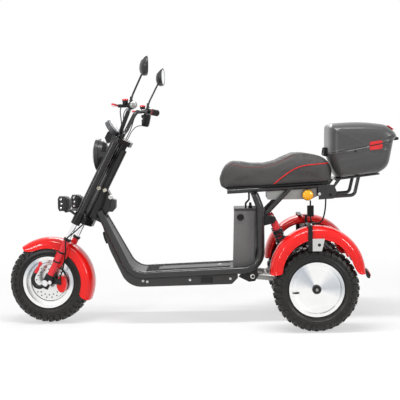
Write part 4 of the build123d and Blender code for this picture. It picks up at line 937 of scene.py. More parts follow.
dome = np.array([(9, 0), (9, 75), (20, 75.5), (26, 70), (33, 52), (37, 28), (38, 0)]) * MM
dome = np.concatenate([dome[:2], smooth_line(dome[2:], 24), dome[-1:]])
front_glass = steered("headlight_dome", [lathe(dome, LAMP_AXIS, (1, 0, 0))], "clear_lens", "clear_lens")
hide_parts("headlight_lens")

# %% [markdown]
# ## Instrument
# The round instrument looks up at the rider. A pale, slightly domed glass covers its face,
# and a bright rim holds the glass. Both are turned about the leaning line of sight.

# %% Instrument
POD_FACE, POD_LEAN = up_fork(0.088, 0, 0.890), radians(33.5)
POD_WAY = np.array((-cos(POD_LEAN), 0, sin(POD_LEAN)))
glass = np.array([(-3.9, 0), (-3.9, 43.7), (1, 42.5), (5, 36), (8, 22), (9, 0)]) * MM
rim = np.array([(-1, 44.2), (1.2, 44.6), (2.2, 47), (1.2, 49.6), (-6, 50.4), (-6, 44.2)]) * MM
rim = np.concatenate([rim, rim[:1]])
steered("instrument_glass", [lathe(glass, POD_FACE, POD_WAY)], "pale_glass", "clear_lens")
steered("instrument_rim", [lathe(rim, POD_FACE, POD_WAY)], "zinc", "alloy")

# %% [markdown]
# ## Mirrors
# Each mirror is an oval shell on a stem that stands on the bar in a rubber boot. The shell
# is a stack of ovals from the rim over the swollen back to a blunt tip: a short table and a
# curve give each oval's share of the full size, its depth and its drop. The bright glass is
# a thin plate set into the front.

# %% Mirrors
BAR_BEND, GRIP_OUT = up_fork(0.018, 0.222, 1.031), up_fork(-0.016, 0.342, 1.044)
MIRRORS = [
    # side, place along x from the bar's bend, toe-in
    (1, -90, 14), (-1, -76, 0),
]
MIRROR_WIDE, MIRROR_TALL, OVAL_STEPS = 66 * MM, 49 * MM, 64
MIRROR_DEEP = np.array([-8, -8, -10, -10, -7.5])
MIRROR_SHARE = np.array([0, 0.88, 0.90, 0.97, 1.0])
swell = np.linspace(0.02, 1, 26)
deep = np.concatenate([MIRROR_DEEP, -8 + 38 * swell])[:, None] * MM
share = np.concatenate([MIRROR_SHARE, np.sqrt(1 - swell ** 2.4)])[:, None]
drop = np.concatenate([np.zeros(5), -13 * swell])[:, None] * MM
round_angle = np.linspace(0, 2 * np.pi, OVAL_STEPS, endpoint=False)[None, :]


def mirror_head(centre, forward, sideways):
    """Ovals from the glass round the rim to the back, each with its share, depth and drop."""
    wide = MIRROR_WIDE * share * np.cos(round_angle)
    tall = MIRROR_TALL * share * np.sin(round_angle) + drop
    points = centre + deep[..., None] * forward + wide[..., None] * sideways
    points = points + tall[..., None] * np.array((0, 0, 1))
    return points.reshape(-1, 3), grid_faces(len(deep), OVAL_STEPS, wrap_cols=True)


oval = np.concatenate([53 * np.cos(round_angle), 40 * np.sin(round_angle)]).T * MM
backs, glasses = [], []
boot = np.array([(-1, 0), (-1, 9), (7, 9), (9, 7.5), (26, 5.6), (26, 0)]) * MM
bar_way = unit(BAR_BEND - GRIP_OUT)
for sign, reach, toe in MIRRORS:
    forward = np.array((cos(radians(toe)), sign * sin(radians(toe)), 0))
    sideways = np.array((-forward[1], forward[0], 0))
    centre = BAR_BEND * (1, sign, 1) + np.array((reach, sign * 74, 192)) * MM
    foot = (BAR_BEND - 0.022 * bar_way) * (1, sign, 1) + np.array((0, 0, 19.3)) * MM
    backs.append(mirror_head(centre, forward, sideways))
    stem = [foot, foot + np.array((0, 0, 18)) * MM, centre + np.array((10, -sign * 8, -22)) * MM]
    backs.append(tube(smooth_line(stem, 40), 4.8 * MM, sides=14))
    backs.append(lathe(boot, foot, (0, 0, 1), 20))
    glasses.append(plate(oval, centre - 9.4 * MM * forward, sideways, (0, 0, 1), 1.2 * MM))
heads = steered("mirror_shells", backs, "case_plastic", "black_paint", 50)
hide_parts("mirrors")
steered("mirror_glasses", glasses, "mirror_glass", "chrome")

# %% [markdown]
# ## Work lamps
# Two square work lamps stand on the fork below the headlight. Their cooling fins are square
# hoops round the tapered back of each body, and their dishes stand in a two by two pattern
# on the front. A square with round corners is a circle whose radius is stretched by a power.

# %% Work lamps
AUX_AT = up_fork(0.117, 0.134, 0.429)
cell = np.array([(0.1, 13), (3.0, 13), (3.0, 12), (1.0, 4), (2.4, 3), (2.4, 0)]) * MM
cells = [lathe(cell, AUX_AT * (1, s, 1) + np.array((36, a * 14, b * 14)) * MM, (1, 0, 0), 24)
         for s in SIDES for a in SIDES for b in SIDES]
steered("work_lamp_dishes", cells, "lamp_silver", "chrome")
HOOP_STEPS, HOOP_DEEP = 64, 9
hoop = np.linspace(0, 2 * np.pi, HOOP_STEPS, endpoint=False)
square = (np.abs(np.cos(hoop)) ** 8 + np.abs(np.sin(hoop)) ** 8) ** (-1 / 8)
HOOPS = [
    # place along x, width, half size
    (25, 4, 38.8), (6, 4, 38.8), (-4, 2.4, 36), (-11, 2.4, 32), (-18, 2.4, 28),
]


def lamp_hoop(centre, at, wide, half):
    """A square hoop: each profile point (x, r) goes to x and r / (|cos|^8 + |sin|^8)^(1/8)."""
    x = (at + np.array((0, 0, wide, wide))) * MM
    r = (half + np.array((-HOOP_DEEP, 0, 0, -HOOP_DEEP))) * MM
    size = r[None, :] * square[:, None]
    y, z = size * np.cos(hoop)[:, None], size * np.sin(hoop)[:, None]
    points = centre + np.stack(np.broadcast_arrays(x[None, :], y, z), -1)
    return points.reshape(-1, 3), grid_faces(HOOP_STEPS, len(x), True, True)


shells = [lamp_hoop(AUX_AT * (1, s, 1), *row) for s in SIDES for row in HOOPS]
steered("work_lamp_frames", shells, "cast_black", "black_paint")
stud = np.array([(-2, 0), (-2, 5), (3, 5), (4, 4), (4, 0)]) * MM
shells = [lathe(stud, AUX_AT * (1, s, 1) + np.array((x, s * e * 38, z)) * MM, (0, s * e, 0), 16)
          for s in SIDES for e in SIDES for x, z in ((18, 22), (18, -22), (15, 0))]
steered("work_lamp_studs", shells, "zinc", "alloy", 30)

# %% [markdown]
# ## Bolts
# A vehicle is held together by what you can see holding it: hex heads with a washer. One
# profile on a six-sided lathe is a head, a round one is its washer, and a table says where
# they go. Bolts that steer are turned with the fork.

# %% Bolts
WASHER_THICK = 0.14
head = np.array([(0, 0), (0, 1.0), (0.52, 1.0), (0.66, 0.86), (0.66, 0)])
washer = np.array([(0, 0), (0, 1.35), (WASHER_THICK, 1.3), (WASHER_THICK, 0)])


def bolt(at, way, size):
    """A washer and a six-sided head of a given corner radius, standing on a surface."""
    at, size = np.asarray(at, float) * MM, size * MM
    seated = at + WASHER_THICK * size * unit(way)
    return [lathe(washer * size, at, way, 20), lathe(head * size, seated, way, 6)]


def bolt_pairs(spots):
    """The bolts of a list on the left side, and the same on the right."""
    return [s for x, y, z, size in spots for sign in SIDES
            for s in bolt((x, sign * y, z), (0, sign, 0), size)]


BOLTS = [
    # name, finish, places on the left side: x, y, z and corner radius
    ("belly_bolts", "zinc",
     [(314, 116, 230, 5), (292, 116, 226, 5), (70, 116, 232, 5), (-140, 116, 236, 5)]),
    ("frame_bolts", "zinc", [(-604, 113, 669, 6), (-200, 108, 254, 6)]),
    ("black_bolts", "cast_black", [(-364, 126, 542, 9), (-660, 113, 664, 6), (-474, 107, 256, 9)]),
    ("strap_bolts", "cast_black", [(-531, 376.4, 424, 5), (-531, 376.4, 456, 5), (-574, 379, 440, 6)]),
]
for name, look, spots in BOLTS:
    piece(name, bolt_pairs(spots), "chassis", look, "alloy", 30)
steered("fork_bolts", bolt_pairs([(817, 122, 219, 13), (793, 112, 222, 8)]), "chrome", "alloy", 30)

# %% [markdown]
# ## Fork fittings
# Black clamps ring the red sliders and hold the mudguard's side plates. At the foot a black
# casting curls round the axle and a short red damper ties it to the leg. Rings are lathed
# about the leaning leg; the casting is a tube whose line curls.

# %% Clamps and castings
CLAMPS = [
    # place up the leg, radius, half width
    (257, 20.5, 7), (182, 19.5, 4.5), (128, 19.5, 4.5),
]
LEG_Y = 0.097
shells = []
for t, r, w in CLAMPS:
    band = np.array([(-w, 16.5), (-w, r - 1.5), (-w + 1.5, r), (w - 1.5, r), (w, r - 1.5), (w, 16.5)]) * MM
    for sign in SIDES:
        shells.append(lathe(band, up_fork(FORK_LEAD, sign * LEG_Y, t * MM), STEER_WAY, 32))
steered("fork_clamps", shells, "cast_black", "black_paint")

CURL = [(861, 276), (874, 262), (881, 244), (878, 222), (864, 204), (843, 197), (826, 206), (818, 216)]
size = np.interp(np.linspace(0, 1, 60), (0, 0.15, 0.6, 1), (7, 10, 11, 9)) * MM
lines = [smooth_line([(x, sign * 119, z) for x, z in CURL], 60) * MM for sign in SIDES]
steered("axle_castings", [tube(line, size, sides=16) for line in lines], "cast_black", "black_paint")

STRUT = np.array([
    # along, radius
    (-6, 0), (-6, 6), (2, 7.5), (6, 7.5), (7, 9.5), (36, 9.5),
    (37, 6.5), (52, 6.5), (54, 9), (66, 9), (70, 5), (70, 0),
]) * MM
shells = []
for sign in SIDES:
    low, high = np.array((868, sign * 119, 268)) * MM, np.array((836, sign * 117, 326)) * MM
    shells.append(lathe(STRUT, low, unit(high - low), 24))
steered("fork_dampers", shells, "red_alloy", "red_paint")

# %% [markdown]
# ## Guard plates on the fork
# A red side plate reaches from each slider back to the mudguard. It is a flat plate with a
# sloping lower edge, bolted through the clamps.

# %% Side plates
side_plate = np.array([
    (762, 372), (742, 428), (706, 432), (690, 398), (704, 352), (745, 296), (766, 300), (784, 330),
]) * MM
shells = [upright(side_plate, sign * 0.0825, 3 * MM) for sign in SIDES]
plates = steered("mudguard_plates", shells, "red_paint", "red_paint")
soft = plates.modifiers.new("soft", "BEVEL")
soft.width, soft.segments, soft.limit_method = 0.8 * MM, 2, "ANGLE"

# %% [markdown]
# ## Guard brackets
# Each rear mudguard's strap ends in a bright bracket, wider at the top than at the foot.
# A shallow fold along its front edge keeps such a thin plate stiff.

# %% Guard brackets
bracket = np.array([(-541, 471), (-600, 471), (-599, 462), (-586, 410), (-541, 410)]) * MM
fold = np.array([(-541, 471), (-546, 471), (-546, 410), (-541, 410)]) * MM
shells = [upright(bracket, sign * 0.3778, 2.4 * MM) for sign in SIDES]
shells += [upright(fold, sign * 0.3800, 4.4 * MM) for sign in SIDES]
brackets = piece("guard_brackets", shells, "chassis", "zinc", "alloy", 30)
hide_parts("fender_plates")

# %% [markdown]
# ## Wheel trim
# The rear hubs end in dark caps with a bolt, and each rear rim has a rubber valve. Caps are
# lathed over the alloy hub and ride with the wheel, so they turn with it. A bright ring
# lines the hole in each pivot plate.

# %% Caps and valves
eye = np.array([(-1, 7.3), (-1, 12.5), (1.6, 12.5), (2.2, 11.5), (2.2, 7.3)]) * MM
eye = np.concatenate([eye, eye[:1]])
shells = [lathe(eye, (-0.256, sign * 0.114, 0.246), (0, sign, 0), 32) for sign in SIDES]
piece("pivot_rings", shells, "chassis", "zinc", "alloy")
cap = np.array([(45.5, 22.7), (54.6, 22.7), (60, 20.5), (63.4, 18), (63.4, 13), (62.6, 12), (62.8, 0)]) * MM
nut = np.array([(62.4, 0), (62.4, 8), (65.4, 8), (66.6, 6.4), (66.6, 0)]) * MM
valve_line = np.array([(88, 39, -18), (91, 46, -18), (99, 50, -18), (110, 51, -18)]) * MM
for body, sign in (("rear_wheel_left", 1), ("rear_wheel_right", -1)):
    hub = REAR_HUB * (1, sign, 1)
    way = (0, sign, 0)
    piece(body + "_cap", [lathe(cap, hub, way, 48)], body, "cast_black", "black_paint", 35)
    piece(body + "_nut", [lathe(nut, hub, way, 6)], body, "dull_steel", "alloy", 35)
    stem = smooth_line(hub + valve_line * (1, sign, 1), 20)
    piece(body + "_valve", [tube(stem, 3.6 * MM, across=(0, 0, 1))], body, "rubber", "rubber")

# %% [markdown]
# ## Brake disc holes
# The front disc is drilled so that it sheds heat and water. The holes are not cut: two rings
# of dark, slightly sunken dots paint the shade inside them, which reads as holes at this size, and they turn
# with the wheel.

# %% Disc holes
# Painted shade: dark dots in place of the shade inside drilled holes.
shade_dot = np.array([(0, 0), (0, 3.6), (0.5, 3.6), (0.5, 2.8), (0.1, 2.6), (0.1, 0)]) * MM
spots = [(r, t + 0.5 * (r < 75)) for r in (82, 68) for t in range(18)]
places = [FRONT_HUB + np.array((r * cos(t * np.pi / 9), 44, r * sin(t * np.pi / 9))) * MM for r, t in spots]
shells = parked([lathe(shade_dot, at, (0, 1, 0), 14) for at in places])
piece("disc_hole_shade", shells, "front_wheel", "cast_black", "black_paint", 30)

# %% [markdown]
# ## Cables
# Thin cables leave the levers and the switches, fall ahead of the tubes and gather behind
# the headlight. Each is a tube along a smooth line through a few places; all are clipped
# to the fork, so they steer with it. A thicker loom runs down the neck on the frame.

# %% Cables
CABLES = [
    # side, radius, places
    (1, 2.6, [(372, 232, 1122), (384, 212, 1106), (388, 170, 1070), (394, 120, 1020), (424, 84, 950),
              (498, 62, 884)]),
    (1, 2.2, [(350, 206, 1112), (374, 180, 1092), (382, 130, 1046), (396, 96, 990), (436, 72, 920),
              (500, 62, 850), (566, 62, 724)]),
    (-1, 2.6, [(372, 232, 1122), (384, 212, 1106), (388, 170, 1070), (394, 120, 1020), (424, 84, 950),
               (500, 60, 876)]),
    (-1, 2.2, [(330, 196, 1042), (362, 160, 1044), (384, 116, 1020), (404, 88, 970), (440, 68, 900),
               (512, 62, 830), (566, 62, 724)]),
]
LOOM = [(496, 40, 712), (508, 42, 690), (517, 42, 650), (530, 42, 612), (548, 40, 582), (556, 36, 556)]
shells = []
for sign, radius, places in CABLES:
    line = smooth_line([(x, sign * y, z) for x, y, z in places], 80) * MM
    shells.append(tube(line, radius * MM, across=(0.3, 1, 0.2), sides=10))
steered("bar_cables", shells, "lead_cover", "rubber")
loom = smooth_line(LOOM, 70) * MM
ribs = 6.5 + 0.8 * np.sin(np.linspace(0, 26 * np.pi, 70))
piece("neck_loom", [tube(loom, ribs * MM, sides=14)], "chassis", "lead_cover", "rubber")

# %% [markdown]
# ## Grips, reservoirs and switches
# The grips are ribbed rubber with a red ring at the inner end: one lathe whose radius goes
# up and down along it. A bright domed plug closes each bar's end, and on each lever's perch
# stands a brake fluid pot with a red lid. The switch housing beside the right grip is a
# pebble: a ball whose angles go through a power, which squares it a little.

# %% Grips
GRIP_LONG = 88
shells, red, pots, ends = [], [], [], []
for sign in SIDES:
    out, inn = GRIP_OUT * (1, sign, 1), BAR_BEND * (1, sign, 1)
    way = unit(inn - out)
    s = np.linspace(0, 1, 120)
    r = 16.6 + 1.0 * np.abs(np.sin(s * 17 * np.pi)) + 2.4 * (s > 0.965) - 14.0 * (s < 0.004)
    sleeve = np.stack([-5 + (GRIP_LONG + 5) * s, r], -1)
    shells.append(lathe(np.concatenate([[(-5, 0)], sleeve, [(GRIP_LONG, 11.1)]]) * MM, out, way, 36))
    ring = np.array([(0, 11.2), (0, 19.5), (3, 19.5), (3, 11.2)]) + (GRIP_LONG + 0.2, 0)
    red.append(lathe(ring * MM, out, way, 36))
    cap = np.array([(-14, 0), (-13.4, 7), (-11.4, 12.5), (-8.5, 16.5), (-5, 18.5), (-3, 18.5), (-3, 0)]) * MM
    ends.append(lathe(cap, out, way, 36))
    foot = inn - 0.022 * way + np.array((30, 0, 5)) * MM
    pot = np.array([(0, 0), (0, 13), (21, 15), (21, 0)]) * MM
    lid = np.array([(21, 0), (21, 16), (27, 16), (29, 14), (29, 0)]) * MM
    pots.append(lathe(pot, foot, (0, 0, 1), 28))
    red.append(lathe(lid, foot, (0, 0, 1), 28))

# %% Switch housing, and the pieces of the bar
KNOB_ROWS, KNOB_SIDES = 25, 40
knob_u = np.linspace(-np.pi / 2, np.pi / 2, KNOB_ROWS)[:, None]
knob_v = np.linspace(0, 2 * np.pi, KNOB_SIDES, endpoint=False)[None, :]


def pebble(centre, half, power, lean):
    """A superellipsoid: powers of the sines and cosines of two angles times half sizes, leaned."""
    curve = lambda t: np.sign(t) * np.abs(t) ** power
    x = half[0] * curve(np.cos(knob_u)) * curve(np.cos(knob_v))
    y = half[1] * curve(np.cos(knob_u)) * curve(np.sin(knob_v))
    z = half[2] * curve(np.sin(knob_u)) + 0 * knob_v
    points = np.stack([x * cos(lean) + z * sin(lean), y, z * cos(lean) - x * sin(lean)], -1) * MM
    return (points + np.array(centre) * MM).reshape(-1, 3), grid_faces(KNOB_ROWS, KNOB_SIDES, wrap_cols=True)


SWITCHES = [
    # centre, half sizes, power, lean
    ((322, -196, 1074), (21, 16, 37), 0.45, -0.22),
    ((340, -196, 1094), (9, 9, 9), 0.6, 0),
    ((340, -196, 1070), (8, 7, 7), 0.6, 0),
    ((322, -204, 1052), (10, 12, 8), 0.6, 0),
]
housing = steered("switch_housing", [pebble(*row) for row in SWITCHES], "cast_black", "black_paint", 60)
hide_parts("switch_box")
handles = steered("ribbed_grips", shells, "rubber", "rubber", 60)
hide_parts("grips")
steered("red_collars", red, "red_alloy", "red_paint")
steered("bar_ends", ends, "dull_steel", "alloy", 50)
steered("fluid_pots", pots, "cast_black", "black_paint")

# %% [markdown]
# ## Top box
# A moulded case has no flat side: every face is a little crowned and the corners flow into
# each other. A bevelled block would look stiff, so each half is worked out from its side
# outline. At a depth d inside the outline the half width is w (1 - (1 - d / R)^4)^(1/4),
# which starts steep and levels out. Creases and the lip along the seam are added on top.

# %% Case shells
CASE_HALF, CASE_ROUND, CASE_WALL = 186.0, 90.0, 4.0
SEAM = np.array([(-650, 876), (-984, 938)], float)
LID_LINE = [(-650, 876.6), (-651, 975), (-652, 1026), (-704, 1031), (-820, 1035), (-915, 1024), (-944, 1019),
            (-988, 987), (-1004, 956), (-984, 938.6)]
TUB_LINE = [(-650, 876), (-686, 780), (-698, 746.7), (-740, 751.6), (-880, 768), (-912, 772), (-958, 806),
            (-972, 876), (-984, 938)]
LID_CREASES = [[(-676, 994), (-814, 932)], [(-700, 1004), (-900, 1000), (-966, 968)]]
TUB_CREASES = [[(-700, 840), (-780, 850), (-913, 888), (-964, 896)]]


def eased(points, passes=4, count=150):
    """Corner cutting: each pass keeps the quarter points of every span, then even steps."""
    line = np.asarray(points, float)
    for _ in range(passes):
        near, far = 0.75 * line[:-1] + 0.25 * line[1:], 0.25 * line[:-1] + 0.75 * line[1:]
        line = np.concatenate([line[:1], np.stack([near, far], 1).reshape(-1, 2), line[-1:]])
    at = np.concatenate([[0], np.cumsum(np.linalg.norm(np.diff(line, axis=0), axis=1))])
    even = np.linspace(0, at[-1], count)
    return np.stack([np.interp(even, at, c) for c in line.T], -1)


def depth(points, line):
    """The distance of each point to a line of spans: to its nearest place on each, then the least."""
    a, run = line[:-1], np.diff(line, axis=0)
    off = points[..., None, :] - a
    share = np.clip((off * run).sum(-1) / (run * run).sum(-1), 0, 1)
    return np.linalg.norm(off - share[..., None] * run, axis=-1).min(-1)


def case_side(outline, creases, up):
    """Half of a case: rings from the outline in to the seam, crowned by their depth inside it."""
    line = eased(outline)
    way = unit(SEAM[1] - SEAM[0])
    share = np.clip((line - SEAM[0]) @ way / np.linalg.norm(SEAM[1] - SEAM[0]), 0.25, 0.75)
    base = SEAM[0] + share[:, None] * (SEAM[1] - SEAM[0]) + (0, line[0, 1] - SEAM[0, 1])
    inward = np.linspace(0, 1, 30) ** 1.8
    flat = line[:, None] + (base - line)[:, None] * inward[None, :, None]
    deep = depth(flat, line)
    deep[:, 0] = 0
    wide = CASE_HALF * (1 - (1 - np.clip(deep / CASE_ROUND, 0, 1)) ** 4) ** 0.25
    off_seam = up * ((flat - SEAM[0]) @ np.array((-way[1], way[0])) * -1)
    lip = 2.4 * np.exp(-((off_seam - 5) / 5) ** 4)
    crease = sum(1.8 * np.exp(-(depth(flat, np.array(c, float)) / 4) ** 2) for c in creases)
    wide = wide + (lip + crease) * np.clip(deep / 14, 0, 1)
    shells = []
    for sign in SIDES:
        points = np.stack([flat[..., 0], sign * wide, flat[..., 1]], -1) * MM
        shells.append((points.reshape(-1, 3), grid_faces(len(line), len(inward))))
    return shells


for name, body, node, line, creases, up in (("lid_shell", "box_lid", "box_lid", LID_LINE, LID_CREASES, 1),
                                            ("tub_shell", "chassis", "box_tub", TUB_LINE, TUB_CREASES, -1)):
    shell = piece(name, case_side(line, creases, up), body, "box_shell", "dark_plastic", 60)
    wall = shell.modifiers.new("wall", "SOLIDIFY")
    wall.thickness, wall.offset = CASE_WALL * MM, -1
    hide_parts(node)
    print(name, len(shell.data.vertices), "points")

# %% [markdown]
# ## Top box fittings
# The lid turns on a pin at the front and closes with a latch at the back. Each side has a
# lock and a red reflector, split along the seam so that its upper half lifts with the lid.

# %% Box fittings
HINGE = np.array((-641, 868))
ear = (HINGE + [(-4, -8), (4, -8), (9, -3), (9, 4), (4, 34), (-13, 40), (-11, 12), (-9, 0)]) * MM
latch = np.array([
    (-990, 944), (-1006, 936), (-1022, 938), (-1026, 942), (-1026, 950), (-1008, 958), (-994, 962),
]) * MM
shells = [upright(ear, sign * 0.0385, 13 * MM) for sign in SIDES] + [upright(latch, 0, 48 * MM)]
piece("lid_fittings", shells, "box_lid", "cast_black", "black_paint", 30)
barrel = np.array([(-47, 0), (-47, 4), (-31, 4), (-31, 8), (31, 8), (31, 4), (47, 4), (47, 0)]) * MM
web = (HINGE + [(0, 7), (-15, 4), (-23, -14), (0, -7)]) * MM
shells = [lathe(barrel, (HINGE[0] * MM, 0, HINGE[1] * MM), (0, 1, 0), 24), upright(web, 0, 62 * MM)]
piece("box_hinge", shells, "chassis", "cast_black", "black_paint", 30)
REFLECTORS = {
    "box_lid": [(-848, 916), (-852, 934), (-905, 941), (-914, 936), (-914, 928)],
    "chassis": [(-848, 910), (-852, 892), (-908, 898), (-914, 906), (-914, 922)],
}
REFLECTOR_THICK, REFLECTOR_SUNK = 4.5, 1.0
reflector_y = (CASE_HALF - REFLECTOR_SUNK + REFLECTOR_THICK / 2) * MM
for body, outline in REFLECTORS.items():
    outline = np.array(outline) * MM
    shells = [upright(outline, sign * reflector_y, REFLECTOR_THICK * MM) for sign in SIDES]
    piece(body + "_side_reflectors", shells, body, "red_lens", "red_lens", 30)
keyhole = np.array([(-0.4, 0), (-0.4, 6), (1.4, 6), (1.8, 5), (1.8, 2), (1.0, 1.8), (1.0, 0)]) * MM
shells = [lathe(keyhole, (-0.779, sign * 0.186, 0.889), (0, sign, 0), 28) for sign in SIDES]
piece("box_locks", shells, "chassis", "cast_black", "black_paint")

# %% [markdown]
# ## Deck
# A ribbed rubber mat covers the flat of the deck, with a hatch in its middle and a small
# lock at the rear. The deck slopes a little, so every strip takes its height from one
# line: the deck's top as a function of the place along the trike.

# %% Deck mat
DECK_FRONT, DECK_SLOPE = np.array((0.372, 0.275)), 24 / 672


def deck_z(x):
    """Height of the deck's top: a straight line that rises to the rear."""
    return DECK_FRONT[1] + (DECK_FRONT[0] - x) * DECK_SLOPE


def deck_strip(front, rear, left, right_y, thick, corner=0.0):
    """A flat strip on the deck: its outline with cut corners, lifted by the deck's slope."""
    c = corner
    flat = np.array([(front, left - c), (front - c, left), (rear + c, left), (rear, left - c),
                     (rear, right_y + c), (rear + c, right_y), (front - c, right_y), (front, right_y + c)])
    slope = unit((1, 0, -DECK_SLOPE))
    lift = np.array((0, 0, deck_z(0) - 0.0004))
    return plate(flat, lift, slope, (0, 1, 0), thick)


def deck_rib(y, rear):
    """A narrow strip along the deck, from the mat's front edge to a given rear end."""
    return deck_strip(MAT_FRONT, rear, y + RIB_HALF, y - RIB_HALF, 2.0 * MM, 0.8 * MM)


MAT_FRONT, MAT_REAR, RIB_HALF, HATCH_HALF = 0.300, -0.140, 1.6 * MM, 50 * MM
ribs = [deck_rib(y, MAT_REAR) for y in np.linspace(-88, 88, 23) * MM if abs(y) > 52 * MM]
ribs += [deck_rib(y, 0.236) for y in np.linspace(-48, 48, 13) * MM]
piece("deck_ribs", ribs, "chassis", "rubber", "rubber", 30)
strip = deck_strip(0.224, MAT_REAR, HATCH_HALF, -HATCH_HALF, 2.6 * MM, 9 * MM)
hatch = piece("deck_hatch", [strip], "chassis", "moulded", "dark_plastic", 30)
edge_round = hatch.modifiers.new("soft", "BEVEL")
edge_round.width, edge_round.segments = 1.0 * MM, 2
barrel = np.array([(2.2, 0), (2.2, 11), (4.4, 11), (5, 10), (5, 3.2), (3.6, 2.8), (3.6, 0)]) * MM
piece("deck_lock", [lathe(barrel, (-0.087, 0, deck_z(-0.087)), (0, 0, 1), 32)], "chassis", "zinc", "alloy")

# %% [markdown]
# ## Battery and lock
# The battery's case ends in a cap with soft edges, and has a round socket on the side. A
# key switch sits on the neck.

# %% Battery trim
cap_line = np.array([
    (-164, -76), (-170, -84.8), (-274, -84.8), (-280, -76),
    (-280, 76), (-274, 84.8), (-170, 84.8), (-164, 76),
]) * MM
shells = [plate(cap_line, (0, 0, 0.584), (1, 0, 0), (0, 1, 0), 13 * MM)]
cover = piece("battery_cap", shells, "chassis", "moulded", "dark_plastic", 30)
edge_round = cover.modifiers.new("soft", "BEVEL")
edge_round.width, edge_round.segments, edge_round.limit_method = 2.5 * MM, 3, "ANGLE"
inlet = np.array([
    (-0.4, 0), (-0.4, 18), (3.5, 18), (5, 16.5), (5, 11), (2.5, 10), (2.5, 5), (6, 4), (6, 0),
]) * MM
shells = [lathe(inlet, (-0.197, 0.084, 0.552), (0, 1, 0), 40)]
piece("battery_socket", shells, "chassis", "cast_black", "black_paint")
key = np.array([(-1, 0), (-1, 12), (9, 12), (10, 11), (10, 4), (8, 3.5), (8, 0)]) * MM
piece("key_switch", [lathe(key, (0.482, 0.0326, 0.664), (0, 1, 0), 32)], "chassis", "zinc", "alloy")

# %% [markdown]
# ## Small fittings
# A dark bracket carries the instrument. Pale connectors sit in the loom behind the lamp,
# the belly pan is joined by a narrow cover, and a plug feeds the battery's top.

# %% Small fittings
post = np.array([(444, 984), (462, 1012), (490, 1006), (507, 974), (496, 944), (458, 954)]) * MM
steered("instrument_post", [upright(post, 0, 44 * MM)], "cast_black", "black_paint", 30)
join_line = np.array([(-49, 216), (13, 216), (13, 247), (-49, 247)]) * MM
shells = [upright(join_line, sign * 0.1165, 2.4 * MM) for sign in SIDES]
piece("belly_join", shells, "chassis", "cast_black", "black_paint", 30)
clip = np.array([(-9, -6), (-7, -8), (7, -8), (9, -6), (9, 6), (7, 8), (-7, 8), (-9, 6)]) * MM
clip_along, clip_up = unit((1, 0, -0.3)), unit((0.3, 0, 1))
shells = [plate(clip, np.array((x, 58, z)) * MM, clip_along, clip_up, 16 * MM)
          for x, z in ((541, 712), (509, 702))]
piece("loom_connectors", shells, "chassis", "cream_plastic", "alloy", 30)
plug = np.array([(-1, 0), (-1, 11), (10, 11), (12, 8), (24, 7), (30, 5), (30, 0)]) * MM
piece("battery_plug", [lathe(plug, (-0.250, 0.046, 0.596), (0, 0, 1), 24)], "chassis", "lead_cover", "rubber")

# %% [markdown]
# ## Lamp trim
# The amber side lamps are a lens over a dark base. Rings moulded into the lens are real
# steps in the profile, so they catch the light from every side.

# %% Amber lenses
s = np.linspace(0, 1, 60)
lens_r = 27.5 * np.sqrt(1 - (s * 0.985) ** 4) + 0.5 * np.abs(np.sin(s * 14 * np.pi))
lens = np.stack([19 * s, lens_r], -1)
lens = np.concatenate([[(0, 0)], lens, [(19.2, 0)]]) * MM
base = np.array([(-1, 0), (-1, 24), (18, 28.6), (22, 29.4), (22.5, 0)]) * MM
shells = [lathe(lens, (-0.545, sign * 0.101, 0.664), (0, sign, 0), 56) for sign in SIDES]
amber = piece("amber_lenses", shells, "chassis", "amber_lens", "amber_lens")
shells = [lathe(base, (-0.545, sign * 0.080, 0.664), (0, sign, 0), 48) for sign in SIDES]
piece("amber_bases", shells, "chassis", "cast_black", "black_paint")
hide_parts("side_lamps")

# %% [markdown]
# ## Seat pan and guard reflectors
# Under the cover a dark pan rims the seat, and each rear mudguard ends in a small red
# reflector on a black foot.

# %% Pan and reflectors
pan_x, pan_half = SEAT_ROWS[3:-2, 0], SEAT_ROWS[3:-2, 3] - 0.006
pan = np.concatenate([np.stack([pan_x, pan_half], -1), np.stack([pan_x, -pan_half], -1)[::-1]])
slope = unit((1, 0, -24 / 492))
pan[:, 0] = pan[:, 0] / slope[0]
shells = [plate(pan, (0, 0, 0.6925), slope, (0, 1, 0), 7 * MM)]
piece("seat_pan", shells, "chassis", "cast_black", "black_paint", 30)
GUARD_MIDDLE = 0.295
tail = np.array([(-803, 304), (-811, 312), (-831, 276), (-829, 262), (-818, 264)]) * MM
shells = [upright(tail, sign * GUARD_MIDDLE, 42 * MM) for sign in SIDES]
piece("guard_feet", shells, "chassis", "cast_black", "black_paint", 30)
red_face = np.array([(-816, 309), (-818.5, 309), (-834, 279), (-833, 270), (-831.5, 276)]) * MM
shells = [upright(red_face, sign * GUARD_MIDDLE, 36 * MM) for sign in SIDES]
piece("guard_reflectors", shells, "chassis", "red_lens", "red_lens", 30)

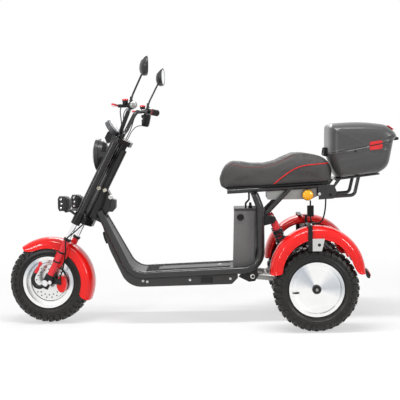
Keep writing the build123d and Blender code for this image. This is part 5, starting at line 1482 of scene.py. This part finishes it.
# %% [markdown]
# ## Floor
# The floor is a large pale sheet. Near the trike it shows the shadow, and further out it
# turns into plain white, so that no edge or horizon shows. It is stage, not trike.

# %% Floor
SHADOW_NEAR, SHADOW_FAR, FLOOR_HALF = 1.2, 2.6, 9.0
floor_mesh = bpy.data.meshes.new("floor")
corners = [(x * FLOOR_HALF, y * FLOOR_HALF, 0) for x, y in ((-1, -1), (1, -1), (1, 1), (-1, 1))]
floor_mesh.from_pydata(corners, [], [(0, 1, 2, 3)])
floor = bpy.data.objects.new("floor", floor_mesh)
scene.collection.objects.link(floor)
pale = bpy.data.materials.new("pale_floor")
pale.use_nodes = True
tree = pale.node_tree
tree.nodes.clear()
matt = tree.nodes.new("ShaderNodeBsdfDiffuse")
matt.inputs["Color"].default_value = (0.86, 0.86, 0.86, 1)
white = tree.nodes.new("ShaderNodeEmission")
white.inputs["Color"].default_value = (1, 1, 1, 1)
blend = tree.nodes.new("ShaderNodeMixShader")
place = tree.nodes.new("ShaderNodeTexCoord").outputs["Object"]
reach = tree.nodes.new("ShaderNodeVectorMath")
reach.operation = "LENGTH"
tree.links.new(place, reach.inputs[0])
fade = tree.nodes.new("ShaderNodeMapRange")
fade.interpolation_type = "SMOOTHSTEP"
fade.inputs["From Min"].default_value = SHADOW_NEAR
fade.inputs["From Max"].default_value = SHADOW_FAR
fade.inputs["To Min"].default_value = 0.55
fade.inputs["To Max"].default_value = 1.0
tree.links.new(reach.outputs["Value"], fade.inputs["Value"])
rays = tree.nodes.new("ShaderNodeLightPath")
mirror_like = maths(tree, "MAXIMUM", rays.outputs["Is Camera Ray"], rays.outputs["Is Glossy Ray"])
mirror_like = maths(tree, "MAXIMUM", mirror_like, rays.outputs["Is Transmission Ray"])
tree.links.new(maths(tree, "MULTIPLY", mirror_like, fade.outputs["Result"]), blend.inputs["Fac"])
tree.links.new(matt.outputs[0], blend.inputs[1])
tree.links.new(white.outputs[0], blend.inputs[2])
tree.links.new(blend.outputs[0], tree.nodes.new("ShaderNodeOutputMaterial").inputs[0])
floor_mesh.materials.append(pale)
print("floor", 2 * FLOOR_HALF, "m wide")
